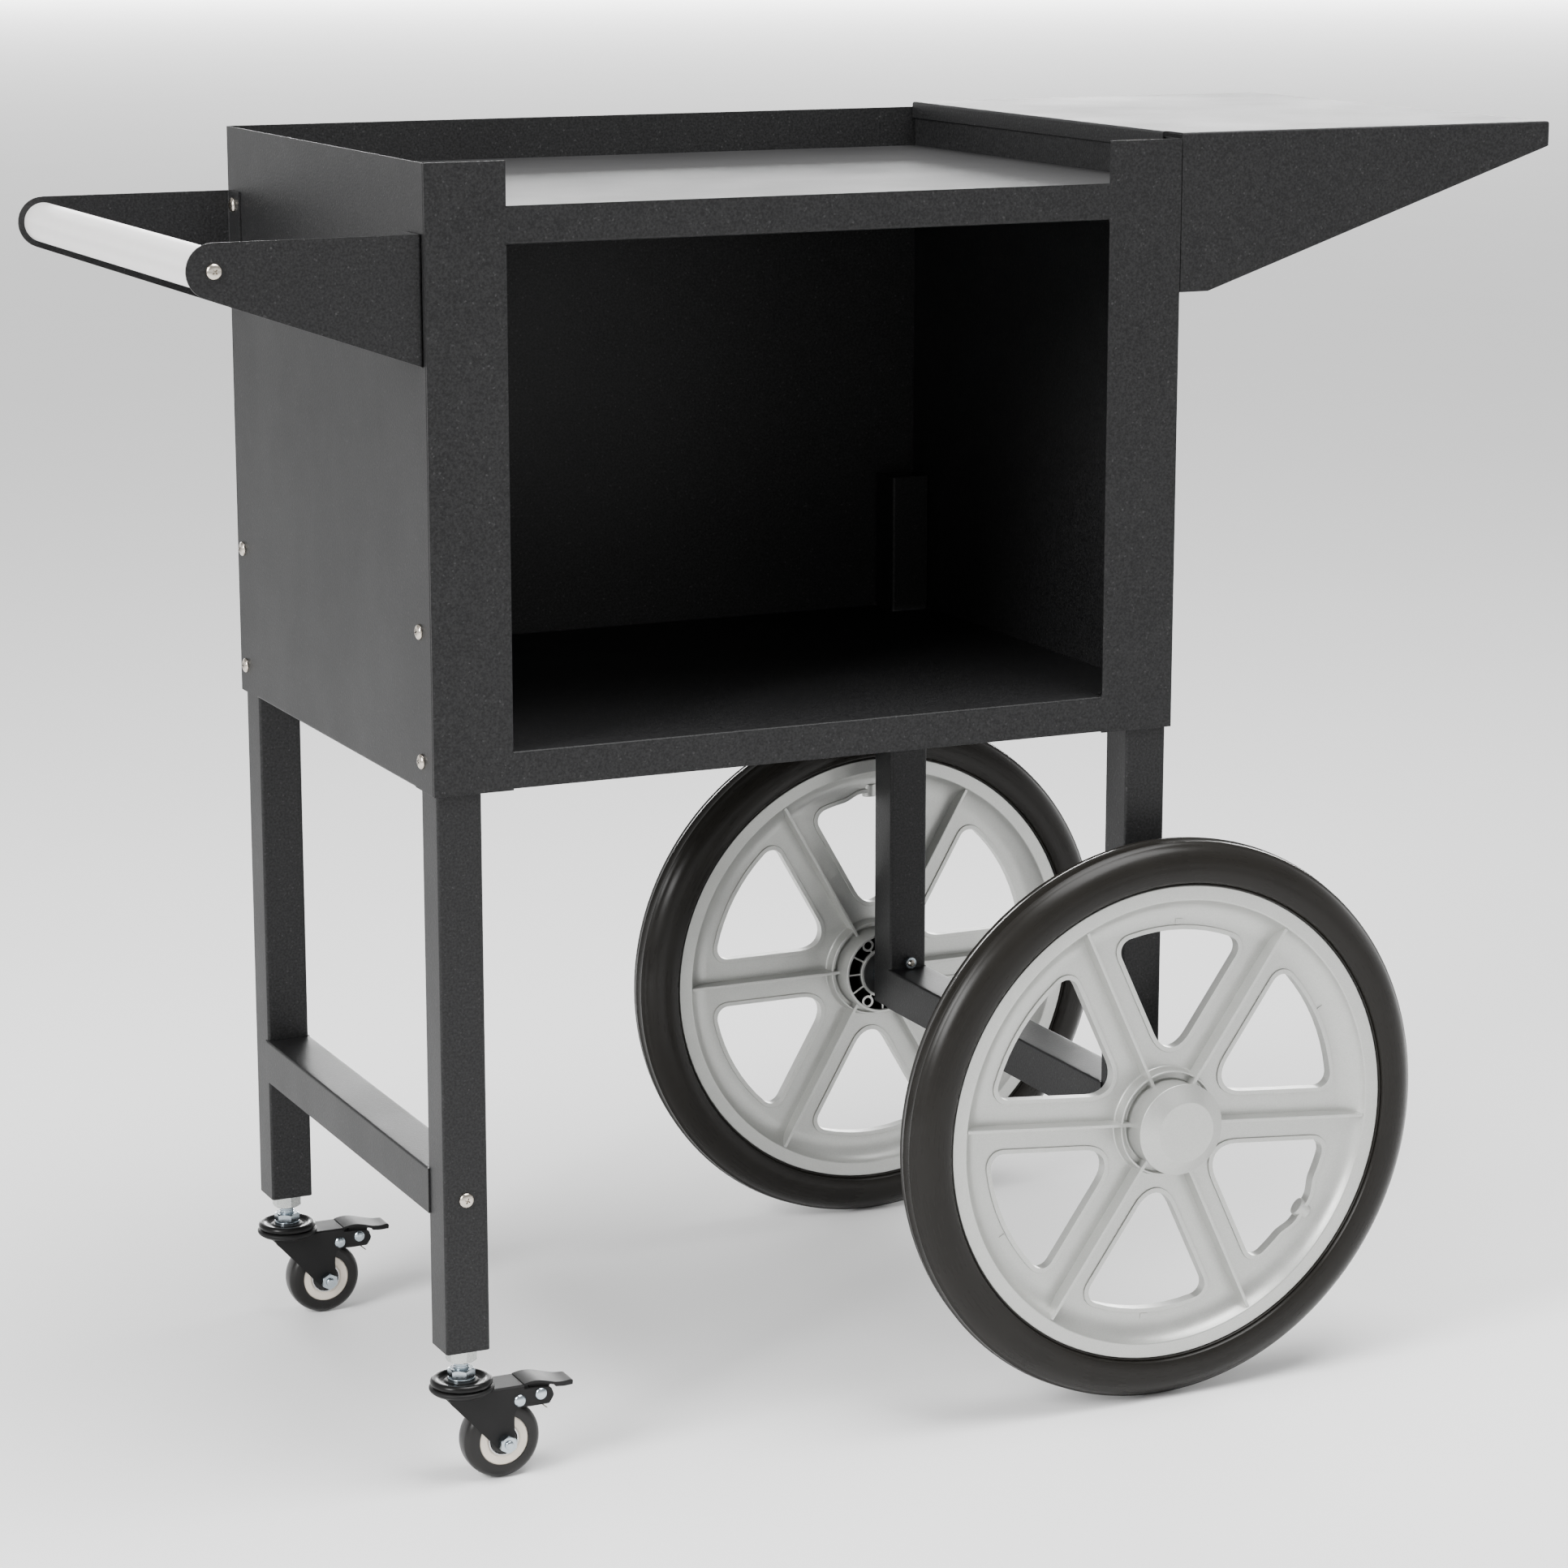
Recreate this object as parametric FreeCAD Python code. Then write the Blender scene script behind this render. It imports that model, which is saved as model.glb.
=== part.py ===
import FreeCAD, Part
import math
import os

# Popcorn cart: an open sheet-metal cabinet on four legs. Two large spoked wheels carry one end, two
# braked swivel casters carry the other. A side shelf hangs over the wheels and a push handle sits
# over the casters. Units are millimetres, +Z is up.
# While modelling, x runs from the cabinet's left face, y from its front face and z from the floor.
# save() then moves everything so that the origin is under the middle of the whole cart.

# ---- driving dimensions ----
CABINET_WIDTH = 500.0
CABINET_DEPTH = 368.0
CABINET_BOTTOM = 436.0
CABINET_TOP = 808.0
SHEET = 1.2
COLUMN_WIDTH = 50.4
TOP_RAIL = (759.5, 782.0)
BOTTOM_RAIL = (437.0, 459.5)
TRAY_TOP = 781.5
FLOOR_TOP = 458.5

LEG_WIDTH, LEG_DEPTH, LEG_INSET, LEG_TOP = 28.4, 27.0, 2.4, 553.0
LEFT_LEG_BOTTOM = 87.3
RIGHT_LEG_BOTTOM = 168.0
FOOT_PLATE = 3.0
CROSSBAR_HEIGHT = 28.6
LEFT_CROSSBAR_TOP = 199.9
RIGHT_CROSSBAR_TOP = 196.6

SHELF_LENGTH, SHELF_TOP, SHELF_LIP = 273.7, 811.5, 15.5
GUSSET_BOTTOM, GUSSET_FLAT = 712.7, 20.6

HANDLE_REACH, HANDLE_HEIGHT, HANDLE_TIP_RADIUS = 124.8, 750.8, 16.3
HANDLE_TUBE_RADIUS = 12.5
BRACKET_PLATE = 1.5
BRACKET_INSET = 4.2
BRACKET_BOTTOM = 690.2
BRACKET_FLANGE = 22.0

WHEEL_X, WHEEL_RADIUS, WHEEL_OFFSET = 481.0, 185.3, 213.6
RIM_RADIUS, RIM_HALF_WIDTH = 156.6, 12.7
COVE_OUTER, COVE_INNER, WEB_HALF = 147.0, 131.0, 2.5
RIB_HALF_WIDTH, RIB_HEIGHT, RIB_END, RIB_COUNT = 1.3, 12.0, 141.0, 6
WINDOW_OFFSET, WINDOW_OUTER = 17.5, 127.0
WINDOW_HUB_ROUND, WINDOW_RIM_ROUND = 15.0, 12.0
HUB_RING, HUB_RING_HEIGHT, HUB_FLOOR = (33.3, 34.7), 10.5, 5.5
NECK_RADIUS, NECK_BORE, NECK_END = 26.0, 22.6, 24.5
HUB_TUBE_RADIUS, HUB_CAVITY_RADIUS, HUB_SHELL_RADIUS, BUSH_RADIUS = 18.3, 27.8, 29.8, 14.0
HUB_INNER_END, CAP_RADIUS, CAP_END_RADIUS, CAP_END = 25.0, 30.0, 19.7, 33.0
SCREW_BOSS_PLACE, SCREW_BOSS_RADIUS, SCREW_BORE_RADIUS = 24.2, 4.5, 2.9
AXLE_RADIUS, RUNNING_CLEARANCE = 6.0, 0.05

CASTER_TRAIL, CASTER_RADIUS, CASTER_HALF_WIDTH = 24.0, 25.0, 9.0
CASTER_HUB_RADIUS, CASTER_BEARING_RADIUS, CASTER_BOLT_RADIUS = 16.0, 10.0, 3.0
FORK_PLATE, FORK_INNER = 2.0, 10.2
STEM_RADIUS = 5.0
PEDAL_PIVOT = (47.5, 53.0)

HEAD_RADIUS, HEAD_HEIGHT, SCREW_RADIUS = 4.8, 2.7, 2.5
NUT_HEIGHT = 4.0

# ---- places worked out from them ----
MID_DEPTH = CABINET_DEPTH / 2
LEG_X = {"left": LEG_INSET, "right": CABINET_WIDTH - LEG_INSET - LEG_WIDTH}
LEG_Y = {"front": LEG_INSET, "back": CABINET_DEPTH - LEG_INSET - LEG_DEPTH}
SHELF_END = CABINET_WIDTH + SHELF_LENGTH
CENTRE_X = (SHELF_END - HANDLE_REACH - HANDLE_TIP_RADIUS) / 2


def box(x, y, z):
    """A block from pairs of limits."""
    corner = FreeCAD.Vector(x[0], y[0], z[0])
    return Part.makeBox(x[1] - x[0], y[1] - y[0], z[1] - z[0], corner)


def rod(axis, at, limits, radius):
    """A round bar along x, y or z. The place gives the two other coordinates, in x, y, z order."""
    place, direction = list(at), [0, 0, 0]
    index = "xyz".index(axis)
    place.insert(index, limits[0])
    direction[index] = 1
    return Part.makeCylinder(
        radius, limits[1] - limits[0], FreeCAD.Vector(*place), FreeCAD.Vector(*direction)
    )


def plate_xz(points, y):
    """A flat plate in the x-z plane from its corners, between two y limits."""
    corners = [FreeCAD.Vector(px, y[0], pz) for px, pz in points]
    face = Part.Face(Part.makePolygon(corners + corners[:1]))
    return face.extrude(FreeCAD.Vector(0, y[1] - y[0], 0))


def turned(points):
    """A solid of revolution about the y axis from (radius, y) corners."""
    corners = [FreeCAD.Vector(radius, py, 0) for radius, py in points]
    face = Part.Face(Part.makePolygon(corners + corners[:1]))
    return face.revolve(FreeCAD.Vector(0, 0, 0), FreeCAD.Vector(0, 1, 0), 360)


def turned_upright(points, x, y):
    """A solid of revolution about a vertical axis at x, y from (radius, z) corners."""
    corners = [FreeCAD.Vector(radius, 0, pz) for radius, pz in points]
    face = Part.Face(Part.makePolygon(corners + corners[:1]))
    solid = face.revolve(FreeCAD.Vector(0, 0, 0), FreeCAD.Vector(0, 0, 1), 360)
    return moved(solid, x, y, 0)


def moved(shape, x, y, z):
    """A copy of a shape, shifted."""
    copy = shape.copy()
    copy.translate(FreeCAD.Vector(x, y, z))
    return copy


def mirrored(shape, y):
    """A mirror image across the plane at y."""
    return shape.mirror(FreeCAD.Vector(0, y, 0), FreeCAD.Vector(0, 1, 0))


def fused(shapes):
    """One solid from several that touch or overlap."""
    body = shapes[0]
    for shape in shapes[1:]:
        body = body.fuse(shape)
    return body.removeSplitter()


def hexagon(axis, at, limits, across_flats):
    """A hexagonal bar along y or z."""
    radius = across_flats / math.sqrt(3)
    angles = [math.radians(60 * step) for step in range(6)]
    points = [(radius * math.cos(a), radius * math.sin(a)) for a in angles]
    if axis == "y":
        return plate_xz([(at[0] + px, at[1] + pz) for px, pz in points], limits)
    corners = [FreeCAD.Vector(at[0] + px, at[1] + py, limits[0]) for px, py in points]
    face = Part.Face(Part.makePolygon(corners + corners[:1]))
    return face.extrude(FreeCAD.Vector(0, 0, limits[1] - limits[0]))


def save(name, *solids):
    """Writes one sub-part: a single solid, or a group of identical separate ones."""
    shape = solids[0] if len(solids) == 1 else Part.makeCompound(list(solids))
    shape = moved(shape, -CENTRE_X, -MID_DEPTH, 0)
    assert shape.isValid(), name
    shape.exportStep("parts/" + name + ".step")


def screw(axis, at, seat, out, length):
    """A pan-head machine screw: its head stands on the seat and points along out (+1 or -1)."""
    tip = sorted((seat, seat - out * length))
    head = sorted((seat, seat + out * HEAD_HEIGHT))
    crown = sorted((seat + out * HEAD_HEIGHT * 0.6, seat + out * HEAD_HEIGHT))
    brim = sorted((seat, seat + out * HEAD_HEIGHT * 0.6))
    return fused([
        rod(axis, at, tip, SCREW_RADIUS),
        rod(axis, at, brim, HEAD_RADIUS),
        rod(axis, at, crown, HEAD_RADIUS * 0.8),
        rod(axis, at, head, HEAD_RADIUS * 0.5),
    ])


def round_nut(axis, at, seat, out):
    """A flanged weld nut on the thread behind a sheet."""
    limits = sorted((seat, seat + out * NUT_HEIGHT))
    return rod(axis, at, limits, 4.0).cut(rod(axis, at, limits, SCREW_RADIUS))


def bored(shape, axis, at, limits, radius=SCREW_RADIUS):
    """A shape with a round hole through it."""
    return shape.cut(rod(axis, at, limits, radius))


# ---- where the screws go ----
PANEL_SCREW_Z = (454.2, 532.4)
PANEL_SCREW_Y = {"front": LEG_Y["front"] + 17.5, "back": LEG_Y["back"] + LEG_DEPTH - 9.5}
BRACKET_SCREW_Z = (699.0, 758.2)
BRACKET_SCREW_IN = 10.5
SHELF_SCREW_Z = (730.0, 768.0)
SHELF_FLANGE = 20.0
CROSSBAR_SCREW_Z = {"left": 184.6, "right": 201.5}


# ---- cabinet ----
def side_panel(side):
    """One side sheet, with a hem behind the front column and one under the floor."""
    sheet = box((0, SHEET), (SHEET, CABINET_DEPTH - SHEET), (CABINET_BOTTOM, CABINET_TOP))
    front = box((0, 14), (SHEET, 2 * SHEET), (CABINET_BOTTOM, CABINET_TOP))
    under = box((0, 16), (32, CABINET_DEPTH - 32), (CABINET_BOTTOM, CABINET_BOTTOM + SHEET))
    panel = fused([sheet, front, under])
    for y in PANEL_SCREW_Y.values():
        for z in PANEL_SCREW_Z:
            panel = bored(panel, "x", (y, z), (-1, 2))
    if side == "left":
        for z in BRACKET_SCREW_Z:
            for y in bracket_screw_ys():
                panel = bored(panel, "x", (y, z), (-1, 2))
        return panel
    for z in SHELF_SCREW_Z:
        for y in shelf_screw_ys():
            panel = bored(panel, "x", (y, z), (-1, 2))
    return panel.mirror(FreeCAD.Vector(CABINET_WIDTH / 2, 0, 0), FreeCAD.Vector(1, 0, 0))


def back_panel():
    """The back sheet, with a hem under the floor."""
    sheet = box((0, CABINET_WIDTH), (CABINET_DEPTH - SHEET, CABINET_DEPTH), (CABINET_BOTTOM, CABINET_TOP))
    under = box((32, CABINET_WIDTH - 32), (CABINET_DEPTH - 16, CABINET_DEPTH),
                (CABINET_BOTTOM, CABINET_BOTTOM + SHEET))
    return fused([sheet, under])


def front_frame():
    """Two columns joined by a top rail and a bottom rail, with returns round the opening."""
    pieces = []
    for outer, inner in ((0, COLUMN_WIDTH), (CABINET_WIDTH, CABINET_WIDTH - COLUMN_WIDTH)):
        face_x = sorted((outer, inner))
        edge_x = sorted((inner, inner + (SHEET if outer > inner else -SHEET)))
        pieces.append(box(face_x, (0, SHEET), (CABINET_BOTTOM, CABINET_TOP)))
        pieces.append(box(edge_x, (0, 16), (BOTTOM_RAIL[1] - SHEET, TOP_RAIL[0] + SHEET)))
        pieces.append(box(edge_x, (0, 16), (TOP_RAIL[1] + 0.2, CABINET_TOP)))
    between = (COLUMN_WIDTH - 1, CABINET_WIDTH - COLUMN_WIDTH + 1)
    pieces.append(box(between, (0, SHEET), TOP_RAIL))
    pieces.append(box(between, (0, SHEET), BOTTOM_RAIL))
    pieces.append(box(between, (0, 16), (TOP_RAIL[0], TOP_RAIL[0] + SHEET)))
    pieces.append(box(between, (0, 16), (BOTTOM_RAIL[1] - SHEET, BOTTOM_RAIL[1])))
    return fused(pieces)


def tray_plate():
    """The shallow pan that the popcorn machine stands on, notched round the columns' returns."""
    gap = 2 * SHEET + 0.2
    x = (SHEET + 0.2, CABINET_WIDTH - SHEET - 0.2)
    y = (gap, CABINET_DEPTH - SHEET - 0.2)
    top = box(x, y, (TRAY_TOP - SHEET, TRAY_TOP))
    front = box(x, (y[0], y[0] + SHEET), (TRAY_TOP - 18, TRAY_TOP))
    back = box(x, (y[1] - SHEET, y[1]), (TRAY_TOP - 18, TRAY_TOP))
    tray = fused([top, front, back])
    for inner in (COLUMN_WIDTH, CABINET_WIDTH - COLUMN_WIDTH):
        tray = tray.cut(box((inner - 1.8, inner + 1.8), (0, 16.6), (TRAY_TOP - 20, TRAY_TOP + 1)))
    return tray


def cabinet_floor():
    """The bottom shelf of the cabinet, notched round the four legs."""
    x = (SHEET + 0.2, CABINET_WIDTH - SHEET - 0.2)
    y = (17.0, CABINET_DEPTH - SHEET - 0.2)
    top = box(x, y, (FLOOR_TOP - SHEET, FLOOR_TOP))
    back = box((34, CABINET_WIDTH - 34), (y[1] - SHEET, y[1]), (FLOOR_TOP - 18, FLOOR_TOP))
    front = box((34, CABINET_WIDTH - 34), (y[0], y[0] + SHEET), (FLOOR_TOP - 18, FLOOR_TOP))
    floor = fused([top, front, back])
    for leg_x in LEG_X.values():
        for leg_y in LEG_Y.values():
            notch = box((leg_x - 2, leg_x + LEG_WIDTH + 0.4), (leg_y - 2, leg_y + LEG_DEPTH + 0.4),
                        (FLOOR_TOP - 2, FLOOR_TOP + 1))
            floor = floor.cut(notch)
    return floor


# ---- legs and crossbars ----
def leg(side, end):
    """A square tube leg, open at both ends."""
    x = (LEG_X[side], LEG_X[side] + LEG_WIDTH)
    y = (LEG_Y[end], LEG_Y[end] + LEG_DEPTH)
    bottom = LEFT_LEG_BOTTOM if side == "left" else RIGHT_LEG_BOTTOM
    tube = box(x, y, (bottom, LEG_TOP))
    edges = [e for e in tube.Edges if abs(e.BoundBox.ZLength - (LEG_TOP - bottom)) < 0.1]
    tube = tube.makeFillet(1.6, edges)
    tube = tube.cut(box((x[0] + SHEET, x[1] - SHEET), (y[0] + SHEET, y[1] - SHEET),
                        (bottom - 1, LEG_TOP + 1)))
    if side == "right":
        tube = bored(tube, "y", (WHEEL_X, WHEEL_RADIUS), (y[0] - 1, y[1] + 1), AXLE_RADIUS)
    outside = (-1, LEG_INSET + 5) if side == "left" else (CABINET_WIDTH - LEG_INSET - 5, CABINET_WIDTH)
    for z in PANEL_SCREW_Z:
        tube = bored(tube, "x", (PANEL_SCREW_Y[end], z), outside)
    return bored(tube, "y", (sum(x) / 2, CROSSBAR_SCREW_Z[side]), (y[0] - 1, y[1] + 1))


def leg_foot_plate(end):
    """The plate welded flush into a left leg's foot, which takes the caster's stem."""
    x = (LEG_X["left"] + SHEET, LEG_X["left"] + LEG_WIDTH - SHEET)
    y = (LEG_Y[end] + SHEET, LEG_Y[end] + LEG_DEPTH - SHEET)
    plate = box(x, y, (LEFT_LEG_BOTTOM, LEFT_LEG_BOTTOM + FOOT_PLATE))
    return bored(plate, "z", (sum(x) / 2, sum(y) / 2), (0, CABINET_BOTTOM), STEM_RADIUS)


def crossbar(side):
    """An upside-down channel between two legs. Its flanges lap the legs, its end tabs are bolted."""
    top = LEFT_CROSSBAR_TOP if side == "left" else RIGHT_CROSSBAR_TOP
    x = (LEG_X[side], LEG_X[side] + LEG_WIDTH)
    y = (LEG_Y["front"] + LEG_DEPTH, LEG_Y["back"])
    lap = (y[0] - 3, y[1] + 3)
    pieces = [
        box((x[0] - SHEET, x[1] + SHEET), y, (top - SHEET, top)),
        box((x[0] - SHEET, x[0]), lap, (top - CROSSBAR_HEIGHT, top)),
        box((x[1], x[1] + SHEET), lap, (top - CROSSBAR_HEIGHT, top)),
    ]
    tab_x = (x[0] + 4, x[1] - 4)
    tab_z = (top - 24, top) if side == "left" else (top - SHEET, top + 12)
    for end in y:
        tab_y = sorted((end, end + (SHEET if end < MID_DEPTH else -SHEET)))
        tab = box(tab_x, tab_y, tab_z)
        pieces.append(bored(tab, "y", (sum(x) / 2, CROSSBAR_SCREW_Z[side]), (end - 3, end + 3)))
    return fused(pieces)


def crossbar_screw(side, end):
    x = LEG_X[side] + LEG_WIDTH / 2
    front = end == "front"
    seat = LEG_Y[end] if front else LEG_Y[end] + LEG_DEPTH
    return screw("y", (x, CROSSBAR_SCREW_Z[side]), seat, -1 if front else 1, LEG_DEPTH + 7)


def crossbar_nut(side, end):
    x = LEG_X[side] + LEG_WIDTH / 2
    out = 1 if end == "front" else -1
    face = LEG_Y[end] + (LEG_DEPTH if end == "front" else 0)
    return round_nut("y", (x, CROSSBAR_SCREW_Z[side]), face + out * SHEET, out)


# ---- side shelf ----
def side_shelf():
    """The folded shelf: top, two tapering gussets, an end lip and a hook over the cabinet's side."""
    start = CABINET_WIDTH + 0.4
    corners = [
        (start, SHELF_TOP), (start, GUSSET_BOTTOM), (CABINET_WIDTH + GUSSET_FLAT, GUSSET_BOTTOM),
        (SHELF_END, SHELF_TOP - SHELF_LIP), (SHELF_END, SHELF_TOP),
    ]
    hook_x = CABINET_WIDTH - 3.8
    hook_y = (18.0, CABINET_DEPTH - 2)
    pieces = [
        box((hook_x, SHELF_END), hook_y, (SHELF_TOP - SHEET, SHELF_TOP)),
        box((start, SHELF_END), (0, CABINET_DEPTH), (SHELF_TOP - SHEET, SHELF_TOP)),
        box((hook_x, hook_x + SHEET), hook_y, (SHELF_TOP - 11, SHELF_TOP)),
        box((SHELF_END - SHEET, SHELF_END), (0, CABINET_DEPTH), (SHELF_TOP - SHELF_LIP, SHELF_TOP)),
        plate_xz(corners, (0, SHEET)),
        plate_xz(corners, (CABINET_DEPTH - SHEET, CABINET_DEPTH)),
    ]
    for y in ((0, SHELF_FLANGE), (CABINET_DEPTH - SHELF_FLANGE, CABINET_DEPTH)):
        flange = box((start, start + SHEET), y, (GUSSET_BOTTOM, SHELF_TOP - 10))
        for z in SHELF_SCREW_Z:
            for screw_y in shelf_screw_ys():
                flange = bored(flange, "x", (screw_y, z), (start - 1, start + 3))
        pieces.append(flange)
    return fused(pieces)


def shelf_screw_ys():
    return (SHELF_FLANGE / 2, CABINET_DEPTH - SHELF_FLANGE / 2)


# ---- push handle ----
def handle_bracket():
    """The front bracket: a tapering plate with a round end, and a flange folded inwards."""
    y = (BRACKET_INSET, BRACKET_INSET + BRACKET_PLATE)
    top = HANDLE_HEIGHT + HANDLE_TIP_RADIUS
    drop = HANDLE_HEIGHT - BRACKET_BOTTOM
    away = math.acos(HANDLE_TIP_RADIUS / math.hypot(HANDLE_REACH, drop))
    touch = math.atan2(-drop, HANDLE_REACH) - away
    tangent = (-HANDLE_REACH + HANDLE_TIP_RADIUS * math.cos(touch),
               HANDLE_HEIGHT + HANDLE_TIP_RADIUS * math.sin(touch))
    corners = [(0, top), (-HANDLE_REACH, top), (-HANDLE_REACH, HANDLE_HEIGHT), tangent, (0, BRACKET_BOTTOM)]
    plate = plate_xz(corners, y)
    tip = rod("y", (-HANDLE_REACH, HANDLE_HEIGHT), y, HANDLE_TIP_RADIUS)
    flange = box((-BRACKET_PLATE, 0), (y[0], y[0] + BRACKET_FLANGE), (BRACKET_BOTTOM, top))
    for z in BRACKET_SCREW_Z:
        flange = bored(flange, "x", (bracket_screw_ys()[0], z), (-3, 1))
    bracket = fused([plate, tip, flange])
    return bored(bracket, "y", (-HANDLE_REACH, HANDLE_HEIGHT), (y[0] - 1, y[1] + 1))


def bracket_screw_ys():
    y = BRACKET_INSET + BRACKET_SCREW_IN
    return (y, CABINET_DEPTH - y)


def handle_tube():
    y = (BRACKET_INSET + BRACKET_PLATE, CABINET_DEPTH - BRACKET_INSET - BRACKET_PLATE)
    at = (-HANDLE_REACH, HANDLE_HEIGHT)
    return rod("y", at, y, HANDLE_TUBE_RADIUS).cut(rod("y", at, y, HANDLE_TUBE_RADIUS - 1.5))


def handle_end_plug():
    y = (BRACKET_INSET + BRACKET_PLATE, BRACKET_INSET + BRACKET_PLATE + 14)
    at = (-HANDLE_REACH, HANDLE_HEIGHT)
    return bored(rod("y", at, y, HANDLE_TUBE_RADIUS - 1.5), "y", at, y)


# ---- large wheels, modelled about the origin with the outer face towards -y ----
def cross_edges(shape, nearest, furthest):
    """The straight edges along y whose distance from the y axis lies between two limits."""
    found = []
    for edge in shape.Edges:
        bounds, middle = edge.BoundBox, edge.CenterOfMass
        along_y = bounds.XLength < 0.1 and bounds.ZLength < 0.1
        if along_y and nearest < math.hypot(middle.x, middle.z) < furthest:
            found.append(edge)
    return found


def spoked(shape, degrees):
    """Turns a shape about the wheel's axis, counting from +x towards +z."""
    shape.rotate(FreeCAD.Vector(0, 0, 0), FreeCAD.Vector(0, 1, 0), -degrees)
    return shape


def window_cutter(centre_angle):
    """One rounded opening between two ribs: two sides along the ribs and an arc along the rim."""
    half = math.pi / RIB_COUNT
    tip = WINDOW_OFFSET / math.sin(half)
    far = 2 * WINDOW_OUTER
    corners = [(tip, 0), (tip + far * math.cos(half), -far * math.sin(half)),
               (tip + far * math.cos(half), far * math.sin(half))]
    window = plate_xz(corners, (-6, 6)).common(rod("y", (0, 0), (-6, 6), WINDOW_OUTER))
    window = window.makeFillet(WINDOW_HUB_ROUND, cross_edges(window, 0, COVE_OUTER / 2))
    window = window.makeFillet(WINDOW_RIM_ROUND, cross_edges(window, COVE_OUTER / 2, COVE_OUTER))
    return spoked(window, math.degrees(centre_angle))


def wheel_rim(first_rib):
    """The moulded wheel: rim, web with six openings, thin ribs on both faces, and a hollow hub."""
    rim = turned([
        (HUB_TUBE_RADIUS, HUB_INNER_END), (BUSH_RADIUS, HUB_INNER_END), (BUSH_RADIUS, -14.0),
        (NECK_BORE, -14.0), (NECK_BORE, -NECK_END), (NECK_RADIUS, -NECK_END), (NECK_RADIUS, -HUB_FLOOR),
        (HUB_RING[0], -HUB_FLOOR), (HUB_RING[0], -HUB_RING_HEIGHT), (HUB_RING[1], -HUB_RING_HEIGHT),
        (HUB_RING[1] + 0.8, -WEB_HALF), (COVE_INNER, -WEB_HALF), (137.0, -4.5), (142.0, -8.0),
        (COVE_OUTER, -RIM_HALF_WIDTH), (RIM_RADIUS, -RIM_HALF_WIDTH), (RIM_RADIUS, RIM_HALF_WIDTH),
        (COVE_OUTER, RIM_HALF_WIDTH), (142.0, 8.0), (137.0, 4.5), (COVE_INNER, WEB_HALF),
        (HUB_RING[1] + 0.8, WEB_HALF), (HUB_RING[1], HUB_RING_HEIGHT), (HUB_RING[0], HUB_RING_HEIGHT),
        (HUB_RING[0], HUB_FLOOR), (HUB_SHELL_RADIUS, HUB_FLOOR), (HUB_SHELL_RADIUS, HUB_INNER_END),
        (HUB_CAVITY_RADIUS, HUB_INNER_END), (HUB_CAVITY_RADIUS, -2.0), (NECK_BORE, -2.0),
        (NECK_BORE, -11.0), (HUB_TUBE_RADIUS, -11.0),
    ])
    ribs, bores = [], []
    thick, fin_thick = (-RIB_HALF_WIDTH, RIB_HALF_WIDTH), (-0.6, 0.6)
    for step in range(RIB_COUNT):
        angle = math.degrees(first_rib) + 60 * step
        ribs.append(spoked(box((NECK_RADIUS - 1, RIB_END), (-RIB_HEIGHT, 0), thick), angle))
        ribs.append(spoked(box((HUB_SHELL_RADIUS - 1, RIB_END), (-1, RIB_HEIGHT), thick), angle))
    for step in range(2 * RIB_COUNT):
        fin = box((HUB_TUBE_RADIUS - 1, HUB_CAVITY_RADIUS + 1), (-3, 23), fin_thick)
        ribs.append(spoked(fin, math.degrees(first_rib) + 30 * step))
    for step in range(3):
        angle = math.degrees(first_rib) + 120 * step
        ribs.append(spoked(rod("y", (SCREW_BOSS_PLACE, 0), (-3, 23), SCREW_BOSS_RADIUS), angle))
        bores.append(spoked(rod("y", (SCREW_BOSS_PLACE, 0), (4, 24), SCREW_BORE_RADIUS), angle))
    for step in range(RIB_COUNT):
        bores.append(window_cutter(first_rib + math.pi * (2 * step + 1) / RIB_COUNT))
    return rim.fuse(ribs).cut(bores).removeSplitter()


def wheel_tyre():
    """A solid tyre with a round crown."""
    bead, bead_half = RIM_RADIUS, 13.5
    crown = Part.Arc(FreeCAD.Vector(bead, -bead_half, 0), FreeCAD.Vector(WHEEL_RADIUS, 0, 0),
                     FreeCAD.Vector(bead, bead_half, 0)).toShape()
    base = Part.makeLine(FreeCAD.Vector(bead, bead_half, 0), FreeCAD.Vector(bead, -bead_half, 0))
    face = Part.Face(Part.Wire([crown, base]))
    return face.revolve(FreeCAD.Vector(0, 0, 0), FreeCAD.Vector(0, 1, 0), 360)


def hub_cap():
    """A hollow cap: a plug skirt in the neck, a collar, a cone and a flat end."""
    skirt, wall, collar = NECK_BORE - 0.1, 1.6, 1.8
    slope = (CAP_END - NECK_END - collar) / (CAP_RADIUS - CAP_END_RADIUS)
    inner_end = (CAP_END_RADIUS - 0.8, wall - CAP_END)
    cone_foot = (skirt - wall, inner_end[1] + (skirt - wall - inner_end[0]) * slope)
    return turned([
        (skirt, 6.5 - NECK_END), (skirt, -NECK_END), (CAP_RADIUS, -NECK_END),
        (CAP_RADIUS, -NECK_END - collar), (CAP_END_RADIUS, -CAP_END), (0, -CAP_END),
        (0, wall - CAP_END), inner_end, cone_foot, (skirt - wall, 6.5 - NECK_END),
    ])


def wheel_bush(y):
    """A flanged bush in one end of the hub tube."""
    flange = rod("y", (0, 0), sorted((y, y + math.copysign(1.5, y))), BUSH_RADIUS + 2.5)
    body = rod("y", (0, 0), sorted((y, y - math.copysign(12, y))), BUSH_RADIUS)
    limits = (min(y, 0) - 5, max(y, 0) + 5)
    return fused([flange, body]).cut(rod("y", (0, 0), limits, AXLE_RADIUS + RUNNING_CLEARANCE))


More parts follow.
